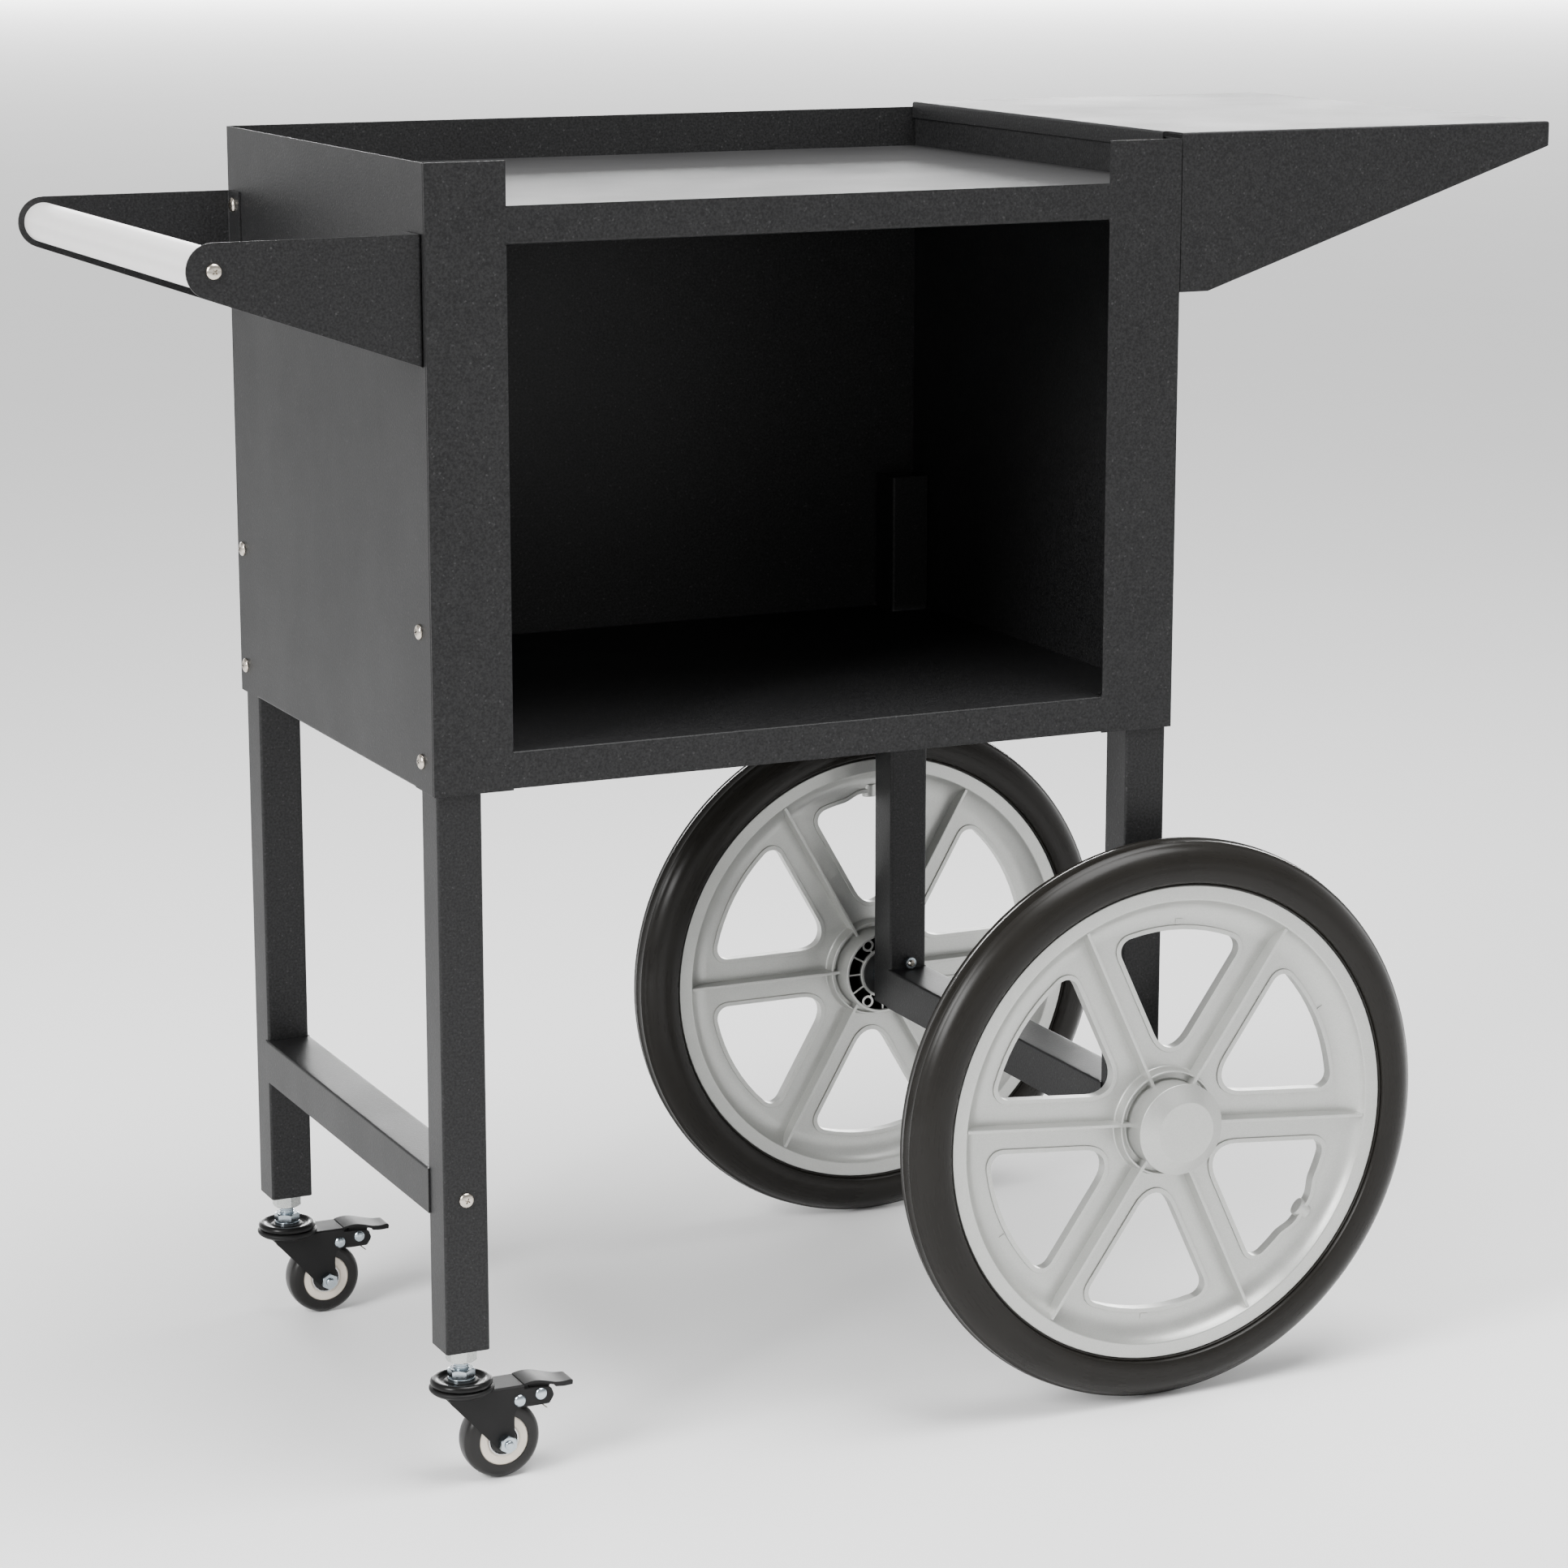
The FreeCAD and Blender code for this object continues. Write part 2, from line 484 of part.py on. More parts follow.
def placed_wheel(shape, end):
    """Puts a wheel piece on its end of the axle, with its outer face outwards."""
    if end == "front":
        return moved(shape, WHEEL_X, MID_DEPTH - WHEEL_OFFSET, WHEEL_RADIUS)
    return moved(mirrored(shape, 0), WHEEL_X, MID_DEPTH + WHEEL_OFFSET, WHEEL_RADIUS)


def on_axle(limits, radius):
    """A ring or bar on the axle, and its twin at the other end. Limits count from the wheel."""
    ring = rod("y", (0, 0), limits, radius).cut(rod("y", (0, 0), limits, AXLE_RADIUS))
    return placed_wheel(ring, "front"), placed_wheel(ring, "back")


# ---- swivel casters, modelled with the stem on the z axis and the wheel towards +x ----
def fork():
    """The fork: a ball race plate on top, two cheeks that carry the wheel, and arms for the pedal."""
    axle = (CASTER_TRAIL, CASTER_RADIUS)
    cheek_corners = [
        (-13, 58.2), (-10, 52.4), (19.0, 20.6), (24, 18.6), (30.0, 24.0), (29, 40), (32, 44.8),
        (40, 46.3), (53.7, 46.3), (56, 51), (51, 56.5), (36, 57.6), (36, 60), (-13, 60),
    ]
    cheeks = []
    for y in ((-FORK_INNER - FORK_PLATE, -FORK_INNER), (FORK_INNER, FORK_INNER + FORK_PLATE)):
        cheek = plate_xz(cheek_corners, y).fuse(rod("y", axle, y, 6.2))
        cheeks.append(bored(cheek, "y", axle, (y[0] - 1, y[1] + 1), CASTER_BOLT_RADIUS))
    width = FORK_INNER + FORK_PLATE
    cover = box((-13, 36), (-width, width), (58.2, 60.0))
    race = turned_upright([(5, 59.1), (18.6, 59.1), (20, 60.3), (20, 61.4), (19, 62.3), (15.6, 62.3),
                           (15.2, 61.1), (5, 61.1)], 0, 0)
    body = fused([cover, race] + cheeks)
    body = bored(body, "z", (0, 0), (50, 70), STEM_RADIUS + 0.3)
    return bored(body, "y", PEDAL_PIVOT, (-20, 20), 2.0)


def pedal():
    """The brake pedal: a wavy tread plate on two cheeks that turn on the pivot rivet."""
    top = [(36.6, 60.4), (41, 61.4), (48, 61.2), (55, 59.2), (62, 57.0), (71, 56.6)]
    under = [(px, pz - 1.8) for px, pz in reversed(top)]
    tread = plate_xz(top + under, (-10.6, 10.6))
    lip = box((69.4, 71.0), (-8.5, 8.5), (53.6, 56.6))
    cheek_corners = [(41, 60.2), (55, 58.4), (51.5, 48.4), (44.5, 48.0), (41, 52)]
    pieces = [tread, lip]
    for y in ((-9.2, -7.6), (7.6, 9.2)):
        pieces.append(bored(plate_xz(cheek_corners, y), "y", PEDAL_PIVOT, (-20, 20), 2.05))
    return fused(pieces)


def rivets():
    """The pedal's pivot rivet, and the two short rivets that hold the brake spring."""
    outer = FORK_INNER + FORK_PLATE
    pin = rod("y", PEDAL_PIVOT, (-outer, outer), 2.0)
    heads = [rod("y", PEDAL_PIVOT, sorted((s * outer, s * (outer + 1.6))), 3.9) for s in (-1, 1)]
    pivot = fused([pin] + heads)
    short = []
    for s in (-1, 1):
        short.append(rod("y", (33.5, 50.6), sorted((s * outer, s * (outer + 1.6))), 3.9))
    return [pivot] + short


def brake_spring():
    """The leaf that the pedal presses on the wheel, with its bent tip showing under the arms."""
    top = [(37.5, 52.6), (43, 48.4), (51.6, 39.4)]
    under = [(px - 0.8, pz - 0.5) for px, pz in reversed(top)]
    leaf = plate_xz(top + under, (-3, 3))
    bar = box((34.5, 38.0), (-FORK_INNER, FORK_INNER), (51.8, 53.0))
    return fused([leaf, bar])


def ball(angle):
    centre = FreeCAD.Vector(12.6 * math.cos(angle), 12.6 * math.sin(angle), 62.6)
    return Part.makeSphere(1.45, centre)


def upper_race():
    """The fixed ring over the balls, dished round the stem."""
    return turned_upright([(STEM_RADIUS, 64.3), (15.4, 64.3), (15.6, 62.8), (18, 62.8), (19, 63.8),
                           (19, 65.2), (17.6, 66.8), (15, 66.8), (13, 65.9), (STEM_RADIUS, 65.9)], 0, 0)


def caster_stem():
    """The threaded stem: hex collar on the race, riveted over under the fork."""
    collar = hexagon("z", (0, 0), (67.6, 73.4), 15.0)
    return fused([
        rod("z", (0, 0), (55.4, LEFT_LEG_BOTTOM + 14), STEM_RADIUS), collar,
        rod("z", (0, 0), (65.9, 67.6), 8.4), rod("z", (0, 0), (55.4, 57.8), 7.2),
    ])


def caster_tread():
    half, outer = CASTER_HALF_WIDTH, CASTER_RADIUS
    return turned([
        (CASTER_HUB_RADIUS, -half), (outer - 4, -half), (outer - 1, -half + 2), (outer, -half + 5),
        (outer, half - 5), (outer - 1, half - 2), (outer - 4, half), (CASTER_HUB_RADIUS, half),
    ])


def caster_hub():
    half = CASTER_HALF_WIDTH - 0.4
    return turned([(CASTER_BEARING_RADIUS, -half), (CASTER_HUB_RADIUS, -half), (CASTER_HUB_RADIUS, half),
                   (CASTER_BEARING_RADIUS, half)])


def caster_bearing(side):
    half = CASTER_HALF_WIDTH - 0.6
    limits = sorted((side * half, side * (half - 6)))
    outer = rod("y", (0, 0), limits, CASTER_BEARING_RADIUS)
    return outer.cut(rod("y", (0, 0), limits, CASTER_BOLT_RADIUS + RUNNING_CLEARANCE))


def axle_bolt():
    """The caster's axle bolt, with its head on the back cheek."""
    outer = FORK_INNER + FORK_PLATE
    axle = (CASTER_TRAIL, CASTER_RADIUS)
    return fused([rod("y", axle, (-outer - 7.5, outer), CASTER_BOLT_RADIUS),
                  hexagon("y", axle, (outer, outer + 4), 10.0)])


def axle_nut():
    outer = FORK_INNER + FORK_PLATE
    axle = (CASTER_TRAIL, CASTER_RADIUS)
    return hexagon("y", axle, (-outer - 5.5, -outer), 10.0).cut(
        rod("y", axle, (-outer - 6, -outer + 1), CASTER_BOLT_RADIUS))


def at_stem(shape, end):
    return moved(shape, LEG_X["left"] + LEG_WIDTH / 2, LEG_Y[end] + LEG_DEPTH / 2, 0)


def at_caster_axle(shape, end):
    return at_stem(moved(shape, CASTER_TRAIL, 0, CASTER_RADIUS), end)


# ---- write the sub-parts ----
os.makedirs("parts", exist_ok=True)

for side in ("left", "right"):
    save(side + "_side_panel", side_panel(side))
    save(side + "_crossbar", crossbar(side))
    for end in ("front", "back"):
        save(end + "_" + side + "_leg", leg(side, end))
save("back_panel", back_panel())
save("front_frame", front_frame())
save("tray_plate", tray_plate())
save("cabinet_floor", cabinet_floor())
save("side_shelf", side_shelf())
save("front_handle_bracket", handle_bracket())
save("back_handle_bracket", mirrored(handle_bracket(), MID_DEPTH))
save("handle_tube", handle_tube())
save("handle_end_plugs", handle_end_plug(), mirrored(handle_end_plug(), MID_DEPTH))

handle_screw = screw("y", (-HANDLE_REACH, HANDLE_HEIGHT), BRACKET_INSET, -1, 14)
save("handle_screws", handle_screw, mirrored(handle_screw, MID_DEPTH))
save("bracket_screws", *[screw("x", (y, z), -BRACKET_PLATE, -1, 9)
                         for y in bracket_screw_ys() for z in BRACKET_SCREW_Z])
save("shelf_screws", *[screw("x", (y, z), CABINET_WIDTH + 0.4 + SHEET, 1, 9)
                       for y in shelf_screw_ys() for z in SHELF_SCREW_Z])

panel_screws, frame_nuts = [], []
for y in PANEL_SCREW_Y.values():
    for z in PANEL_SCREW_Z:
        panel_screws.append(screw("x", (y, z), 0, -1, 9))
        panel_screws.append(screw("x", (y, z), CABINET_WIDTH, 1, 9))
        frame_nuts.append(round_nut("x", (y, z), LEG_INSET + SHEET, 1))
        frame_nuts.append(round_nut("x", (y, z), CABINET_WIDTH - LEG_INSET - SHEET, -1))
for y in bracket_screw_ys():
    for z in BRACKET_SCREW_Z:
        frame_nuts.append(round_nut("x", (y, z), SHEET, 1))
for y in shelf_screw_ys():
    for z in SHELF_SCREW_Z:
        frame_nuts.append(round_nut("x", (y, z), CABINET_WIDTH - SHEET, -1))
save("panel_screws", *panel_screws)
save("frame_nuts", *frame_nuts)

save("leg_foot_plates", *[leg_foot_plate(end) for end in ("front", "back")])
ends = [(side, end) for side in ("left", "right") for end in ("front", "back")]
save("crossbar_screws", *[crossbar_screw(side, end) for side, end in ends])
save("crossbar_nuts", *[crossbar_nut(side, end) for side, end in ends])

axle_half = WHEEL_OFFSET + 28.5
save("axle", rod("y", (WHEEL_X, WHEEL_RADIUS), (MID_DEPTH - axle_half, MID_DEPTH + axle_half), AXLE_RADIUS))
leg_face = WHEEL_OFFSET - MID_DEPTH + LEG_INSET
save("axle_collars", *on_axle((26.8, leg_face), 10.0))
save("axle_washers", *on_axle((-17.3, -15.8), 12.0))
lock_nut = hexagon("y", (0, 0), (-27.3, -17.3), 19.0).cut(rod("y", (0, 0), (-28, -17), AXLE_RADIUS))
save("axle_lock_nuts", placed_wheel(lock_nut, "front"), placed_wheel(lock_nut, "back"))

for end, first_rib in (("front", math.radians(-5)), ("back", 0.0)):
    save(end + "_wheel_rim", placed_wheel(wheel_rim(first_rib), end))
    save(end + "_wheel_tyre", placed_wheel(wheel_tyre(), end))
    save(end + "_hub_cap", placed_wheel(hub_cap(), end))
    save(end + "_wheel_bushes", *[placed_wheel(wheel_bush(y), end) for y in (-14.0, 25.0)])

stem_nut = hexagon("z", (0, 0), (LEFT_LEG_BOTTOM - 9, LEFT_LEG_BOTTOM), 17.0)
stem_nut = bored(stem_nut, "z", (0, 0), (LEFT_LEG_BOTTOM - 10, LEFT_LEG_BOTTOM + 1), STEM_RADIUS)
save("caster_lock_nuts", *[at_stem(stem_nut, end) for end in ("front", "back")])
save("caster_stems", *[at_stem(caster_stem(), end) for end in ("front", "back")])
save("caster_upper_races", *[at_stem(upper_race(), end) for end in ("front", "back")])

for end in ("front", "back"):
    save(end + "_caster_fork", at_stem(fork(), end))
    save(end + "_swivel_balls", *[at_stem(ball(math.radians(30 * step)), end) for step in range(12)])
    save(end + "_caster_rivets", *[at_stem(rivet, end) for rivet in rivets()])
    save(end + "_brake_spring", at_stem(brake_spring(), end))
    save(end + "_caster_bolt", at_stem(axle_bolt(), end))
    save(end + "_caster_bolt_nut", at_stem(axle_nut(), end))
    save(end + "_brake_pedal", at_stem(pedal(), end))
    save(end + "_caster_tread", at_caster_axle(caster_tread(), end))
    save(end + "_caster_hub", at_caster_axle(caster_hub(), end))
    save(end + "_caster_bearings", *[at_caster_axle(caster_bearing(side), end) for side in (-1, 1)])
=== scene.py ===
"""Popcorn cart: the finished look of every piece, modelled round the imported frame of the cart."""
import logging
import math
from collections.abc import Callable, Iterable, Sequence
from dataclasses import dataclass
from enum import Enum
from typing import NamedTuple

import bmesh
import bpy
from bpy.types import Material, Node, NodeSocket, Object
from mathutils import Euler, Matrix, Vector


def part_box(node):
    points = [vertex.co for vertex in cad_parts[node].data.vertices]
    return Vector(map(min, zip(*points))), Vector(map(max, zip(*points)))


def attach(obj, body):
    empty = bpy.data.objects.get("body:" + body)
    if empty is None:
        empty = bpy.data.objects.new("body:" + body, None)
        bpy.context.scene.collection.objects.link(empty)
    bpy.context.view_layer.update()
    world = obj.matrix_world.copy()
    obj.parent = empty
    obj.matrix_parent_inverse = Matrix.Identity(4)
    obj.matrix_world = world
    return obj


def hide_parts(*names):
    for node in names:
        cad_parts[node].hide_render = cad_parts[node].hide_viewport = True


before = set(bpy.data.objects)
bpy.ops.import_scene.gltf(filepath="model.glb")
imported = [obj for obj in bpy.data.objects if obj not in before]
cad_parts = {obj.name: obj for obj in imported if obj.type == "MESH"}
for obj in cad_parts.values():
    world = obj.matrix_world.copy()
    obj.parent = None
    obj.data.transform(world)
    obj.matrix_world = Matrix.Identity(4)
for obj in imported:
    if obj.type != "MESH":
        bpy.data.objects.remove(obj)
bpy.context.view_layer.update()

LOG = logging.getLogger("popcorn_cart")
MM = 0.001
TINY = 0.02 * MM
FULL_TURN = 2 * math.pi
Triple = tuple[float, float, float]
Value = float | Triple | tuple[float, float, float, float]


# ---------------------------------------------------------------- finishes
class Wire:
    """A value that runs through a material, ready for sums."""

    def __init__(self, mixer: "Mixer", socket: NodeSocket) -> None:
        """Wraps one output socket.

        Args:
            mixer: the material that the socket is part of.
            socket: the output socket.
        """
        self.mixer = mixer
        self.socket = socket

    def _math(self, operation: str, first: "Wire | float", second: "Wire | float") -> "Wire":
        """Adds a Math node and gives its result."""
        return self.mixer.node("ShaderNodeMath", {"operation": operation}, {0: first, 1: second})

    def __add__(self, other: "Wire | float") -> "Wire":
        """The sum with another value."""
        return self._math("ADD", self, other)

    def __sub__(self, other: "Wire | float") -> "Wire":
        """The difference from another value."""
        return self._math("SUBTRACT", self, other)

    def __rsub__(self, other: float) -> "Wire":
        """A number less this value."""
        return self._math("SUBTRACT", other, self)

    def __mul__(self, other: "Wire | float") -> "Wire":
        """The product with another value."""
        return self._math("MULTIPLY", self, other)

    def above(self, limit: float) -> "Wire":
        """One where the value passes the limit, and nought elsewhere."""
        return self._math("GREATER_THAN", self, limit)

    def below(self, limit: float) -> "Wire":
        """One where the value stays under the limit, and nought elsewhere."""
        return self._math("LESS_THAN", self, limit)


class Mixer:
    """Lays out the nodes of one material."""

    def __init__(self, name: str) -> None:
        """Starts an empty material.

        Args:
            name: the material's name.
        """
        self.material = bpy.data.materials.new(name)
        self.material.use_nodes = True
        self.tree = self.material.node_tree
        self.tree.nodes.clear()
        self.place = self.node("ShaderNodeTexCoord", {}, {}, "Object")

    def node(self, kind: str, settings: dict[str, object], inputs: dict[int | str, "Wire | Value"],
             output: int | str = 0) -> Wire:
        """Adds one node.

        Args:
            kind: the node's type.
            settings: its properties, set before anything is linked.
            inputs: values or wires for its input sockets.
            output: the output socket that is wanted.

        Returns:
            The wanted output.
        """
        made: Node = self.tree.nodes.new(kind)
        for name, value in settings.items():
            setattr(made, name, value)
        for key, value in inputs.items():
            if isinstance(value, Wire):
                self.tree.links.new(value.socket, made.inputs[key])
            else:
                made.inputs[key].default_value = value
        return Wire(self, made.outputs[output]) if len(made.outputs) else self.place

    def noise(self, size: float, detail: float = 2.0, rough: float = 0.5,
              stretch: Triple = (1.0, 1.0, 1.0)) -> Wire:
        """Soft random variation.

        Args:
            size: the size of its features, in metres.
            detail: how many finer layers it has.
            rough: how strong those are.
            stretch: a factor for each axis; a small one draws the pattern out.

        Returns:
            A value from 0 to 1.
        """
        place = self.place
        if stretch != (1.0, 1.0, 1.0):
            place = self.node("ShaderNodeMapping", {}, {"Vector": self.place, "Scale": stretch})
        values = {"Vector": place, "Scale": 1 / size, "Detail": detail, "Roughness": rough}
        return self.node("ShaderNodeTexNoise", {}, values)

    def cells(self, size: float) -> Wire:
        """Random grey cells, one grain each.

        Args:
            size: the width of a grain, in metres.

        Returns:
            A random value for each grain.
        """
        grains = self.node("ShaderNodeTexVoronoi", {}, {"Vector": self.place, "Scale": 1 / size}, "Color")
        return self.node("ShaderNodeRGBToBW", {}, {0: grains})

    def spread(self, value: Wire, low: float, high: float, start: float = 0.0, end: float = 1.0) -> Wire:
        """Stretches a value from one range to another, and holds it at the ends.

        Args:
            value: the value.
            low: where the first range starts.
            high: where the first range ends.
            start: where the second range starts.
            end: where the second range ends.

        Returns:
            The stretched value.
        """
        return self.node("ShaderNodeMapRange", {}, {0: value, 1: low, 2: high, 3: start, 4: end})

    def blend(self, amount: Wire, first: "Wire | Triple", second: "Wire | Triple") -> Wire:
        """Mixes two colours.

        Args:
            amount: 0 for the first colour, 1 for the second.
            first: a colour.
            second: a colour.

        Returns:
            The mixed colour.
        """
        pair = [value if isinstance(value, Wire) else (*value, 1.0) for value in (first, second)]
        settings = {"data_type": "RGBA", "clamp_factor": True}
        return self.node("ShaderNodeMix", settings, {0: amount, 6: pair[0], 7: pair[1]}, 2)

    def radius(self, centre: Vector, axis: str) -> Wire:
        """How far a point is from a wheel's axis.

        Args:
            centre: a point on the axis.
            axis: "y" or "z", the way the axis runs.

        Returns:
            The distance, in metres.
        """
        flat = (1.0, 0.0, 1.0) if axis == "y" else (1.0, 1.0, 0.0)
        kind = "ShaderNodeVectorMath"
        moved = self.node(kind, {"operation": "SUBTRACT"}, {0: self.place, 1: tuple(centre)})
        across = self.node(kind, {"operation": "MULTIPLY"}, {0: moved, 1: flat})
        return self.node(kind, {"operation": "LENGTH"}, {0: across}, "Value")

    def part(self, axis: int) -> Wire:
        """One coordinate of the place.

        Args:
            axis: 0, 1 or 2 for x, y or z.

        Returns:
            The coordinate, in metres.
        """
        return self.node("ShaderNodeSeparateXYZ", {}, {0: self.place}, axis)

    def bump(self, height: Wire, depth: float, strength: float = 1.0) -> Wire:
        """Turns a height into a surface that catches the light.

        Args:
            height: the height, 0 to 1.
            depth: what a height of 1 is, in metres.
            strength: how much of it shows.

        Returns:
            A normal.
        """
        values = {"Height": height, "Distance": depth, "Strength": strength}
        return self.node("ShaderNodeBump", {}, values, "Normal")

    def surface(self, **inputs: "Wire | Value") -> Material:
        """Closes the material with its shader.

        Args:
            **inputs: the shader's sockets, with _ for a space.

        Returns:
            The material.
        """
        named = {name.replace("_", " "): value for name, value in inputs.items()}
        shader = self.node("ShaderNodeBsdfPrincipled", {}, named)
        self.node("ShaderNodeOutputMaterial", {}, {"Surface": shader})
        return self.material


@dataclass(frozen=True)
class PowderCoat:
    """Fine-textured charcoal powder coat on sheet steel."""

    name: str = "powder_coat"
    slot: str = "powder_coat"
    dark: Triple = (0.0055, 0.0055, 0.0058)
    pale: Triple = (0.0195, 0.0196, 0.0200)
    roughness: float = 0.40
    grain: float = 1.5 * MM
    index: float = 1.28

    def make(self) -> Material:
        """Orange-peel grain with slight cloudiness and faint handling marks."""
        mix = Mixer(self.name)
        peel = mix.noise(self.grain, 3.0, 0.6)
        cloud = mix.noise(90 * MM, 4.0, 0.55)
        speck = mix.spread(mix.cells(1.0 * MM), 0.86, 1.0)
        shade = mix.spread(peel, 0.35, 0.65) * 0.8 + cloud * 0.2
        colour = mix.blend(speck * 0.4, mix.blend(shade, self.dark, self.pale), (0.08, 0.08, 0.08))
        rough = mix.spread(cloud, 0.3, 0.7, self.roughness - 0.03, self.roughness + 0.04) + peel * 0.06
        return mix.surface(Base_Color=colour, Roughness=rough, IOR=self.index,
                           Normal=mix.bump(peel, 0.16 * MM, 0.8))


@dataclass(frozen=True)
class SilverPaint:
    """Silver paint with a fine flake on moulded plastic, which stops inside the hub."""

    name: str
    centre: Vector
    outward: float
    slot: str = "wheel_silver"
    base: Triple = (0.385, 0.39, 0.375)
    flake: Triple = (0.54, 0.545, 0.525)
    bare: Triple = (0.006, 0.006, 0.006)
    cavity: tuple[float, float] = (28.4 * MM, 2.3 * MM)
    bore: tuple[float, float] = (22.75 * MM, 13.9 * MM)
    mouth: float = -22.7 * MM

    def make(self) -> Material:
        """Flake, slight mould waviness, and bare black plastic in the hollow back of the hub."""
        mix = Mixer(self.name)
        flake = mix.cells(0.45 * MM)
        wave = mix.noise(14 * MM, 2.0, 0.5)
        fine = mix.noise(0.8 * MM, 2.0, 0.6)
        silver = mix.blend(flake * 0.55 + wave * 0.3, self.base, self.flake)
        around = mix.radius(self.centre, "y")
        depth = (mix.part(1) - self.centre.y) * self.outward
        hollows = [around.below(radius) * depth.below(floor) for radius, floor in (self.cavity, self.bore)]
        bare = (hollows[0] + hollows[1]).above(0.5) * depth.above(self.mouth)
        colour = mix.blend(bare, silver, self.bare)
        metal = (1 - bare) * mix.spread(flake, 0.2, 0.9, 0.52, 0.68)
        return mix.surface(Base_Color=colour, Metallic=metal,
                           Roughness=mix.spread(wave, 0.3, 0.7, 0.33, 0.40), IOR=1.45,
                           Normal=mix.bump(fine * 0.6 + wave * 0.8, 0.07 * MM, 0.45))


@dataclass(frozen=True)
class Moulded:
    """A moulded or dipped finish: rubber, plastic or thick paint."""

    name: str
    slot: str
    dark: Triple
    pale: Triple
    roughness: float
    grain: float = 1.2 * MM
    depth: float = 0.03 * MM
    coat: float = 0.0
    index: float = 1.42
    mottle: float = 25 * MM

    def make(self) -> Material:
        """Fine grain over a slow mottle, with a little wander in the gloss."""
        mix = Mixer(self.name)
        grain = mix.noise(self.grain, 3.0, 0.55)
        mottle = mix.noise(self.mottle, 3.0, 0.5)
        colour = mix.blend(mottle * 0.65 + grain * 0.35, self.dark, self.pale)
        rough = mix.spread(mottle, 0.3, 0.7, self.roughness - 0.04, self.roughness + 0.06)
        return mix.surface(Base_Color=colour, Roughness=rough, IOR=self.index, Coat_Weight=self.coat,
                           Coat_Roughness=0.12, Normal=mix.bump(grain, self.depth, 0.6))


@dataclass(frozen=True)
class TyreRubber:
    """Smooth glossy tyre rubber with faint rings left by the mould."""

    name: str
    centre: Vector
    slot: str = "tyre_rubber"
    dark: Triple = (0.008, 0.0073, 0.0064)
    pale: Triple = (0.0145, 0.0133, 0.0115)

    def make(self) -> Material:
        """Brownish black with slight dust, and rings about the wheel's axis."""
        mix = Mixer(self.name)
        ring = mix.node("ShaderNodeMath", {"operation": "SINE"},
                        {0: mix.radius(self.centre, "y") * (FULL_TURN / (3.2 * MM))})
        grain = mix.noise(1.6 * MM, 2.0, 0.5)
        dust = mix.noise(30 * MM, 3.0, 0.5)
        colour = mix.blend(dust * 0.6 + grain * 0.4, self.dark, self.pale)
        rough = mix.spread(dust, 0.3, 0.7, 0.25, 0.31) + ring * 0.01
        return mix.surface(Base_Color=colour, Roughness=rough, IOR=1.25,
                           Normal=mix.bump(grain, 0.012 * MM, 0.4))


@dataclass(frozen=True)
class Metal:
    """A plated, drawn or ground metal."""

    name: str
    slot: str
    dark: Triple
    pale: Triple
    roughness: float
    grain: float = 1.5 * MM
    stretch: Triple = (1.0, 1.0, 1.0)
    depth: float = 0.012 * MM
    metallic: float = 1.0

    def make(self) -> Material:
        """Fine scratches or crystals with patches of slightly duller plate."""
        mix = Mixer(self.name)
        lines = mix.noise(self.grain, 4.0, 0.65, self.stretch)
        patch = mix.noise(6 * MM, 3.0, 0.5)
        colour = mix.blend(patch * 0.6 + lines * 0.4, self.dark, self.pale)
        rough = mix.spread(lines, 0.3, 0.7, self.roughness - 0.04, self.roughness + 0.07)
        return mix.surface(Base_Color=colour, Metallic=self.metallic, Roughness=rough,
                           Normal=mix.bump(lines, self.depth, 0.5))


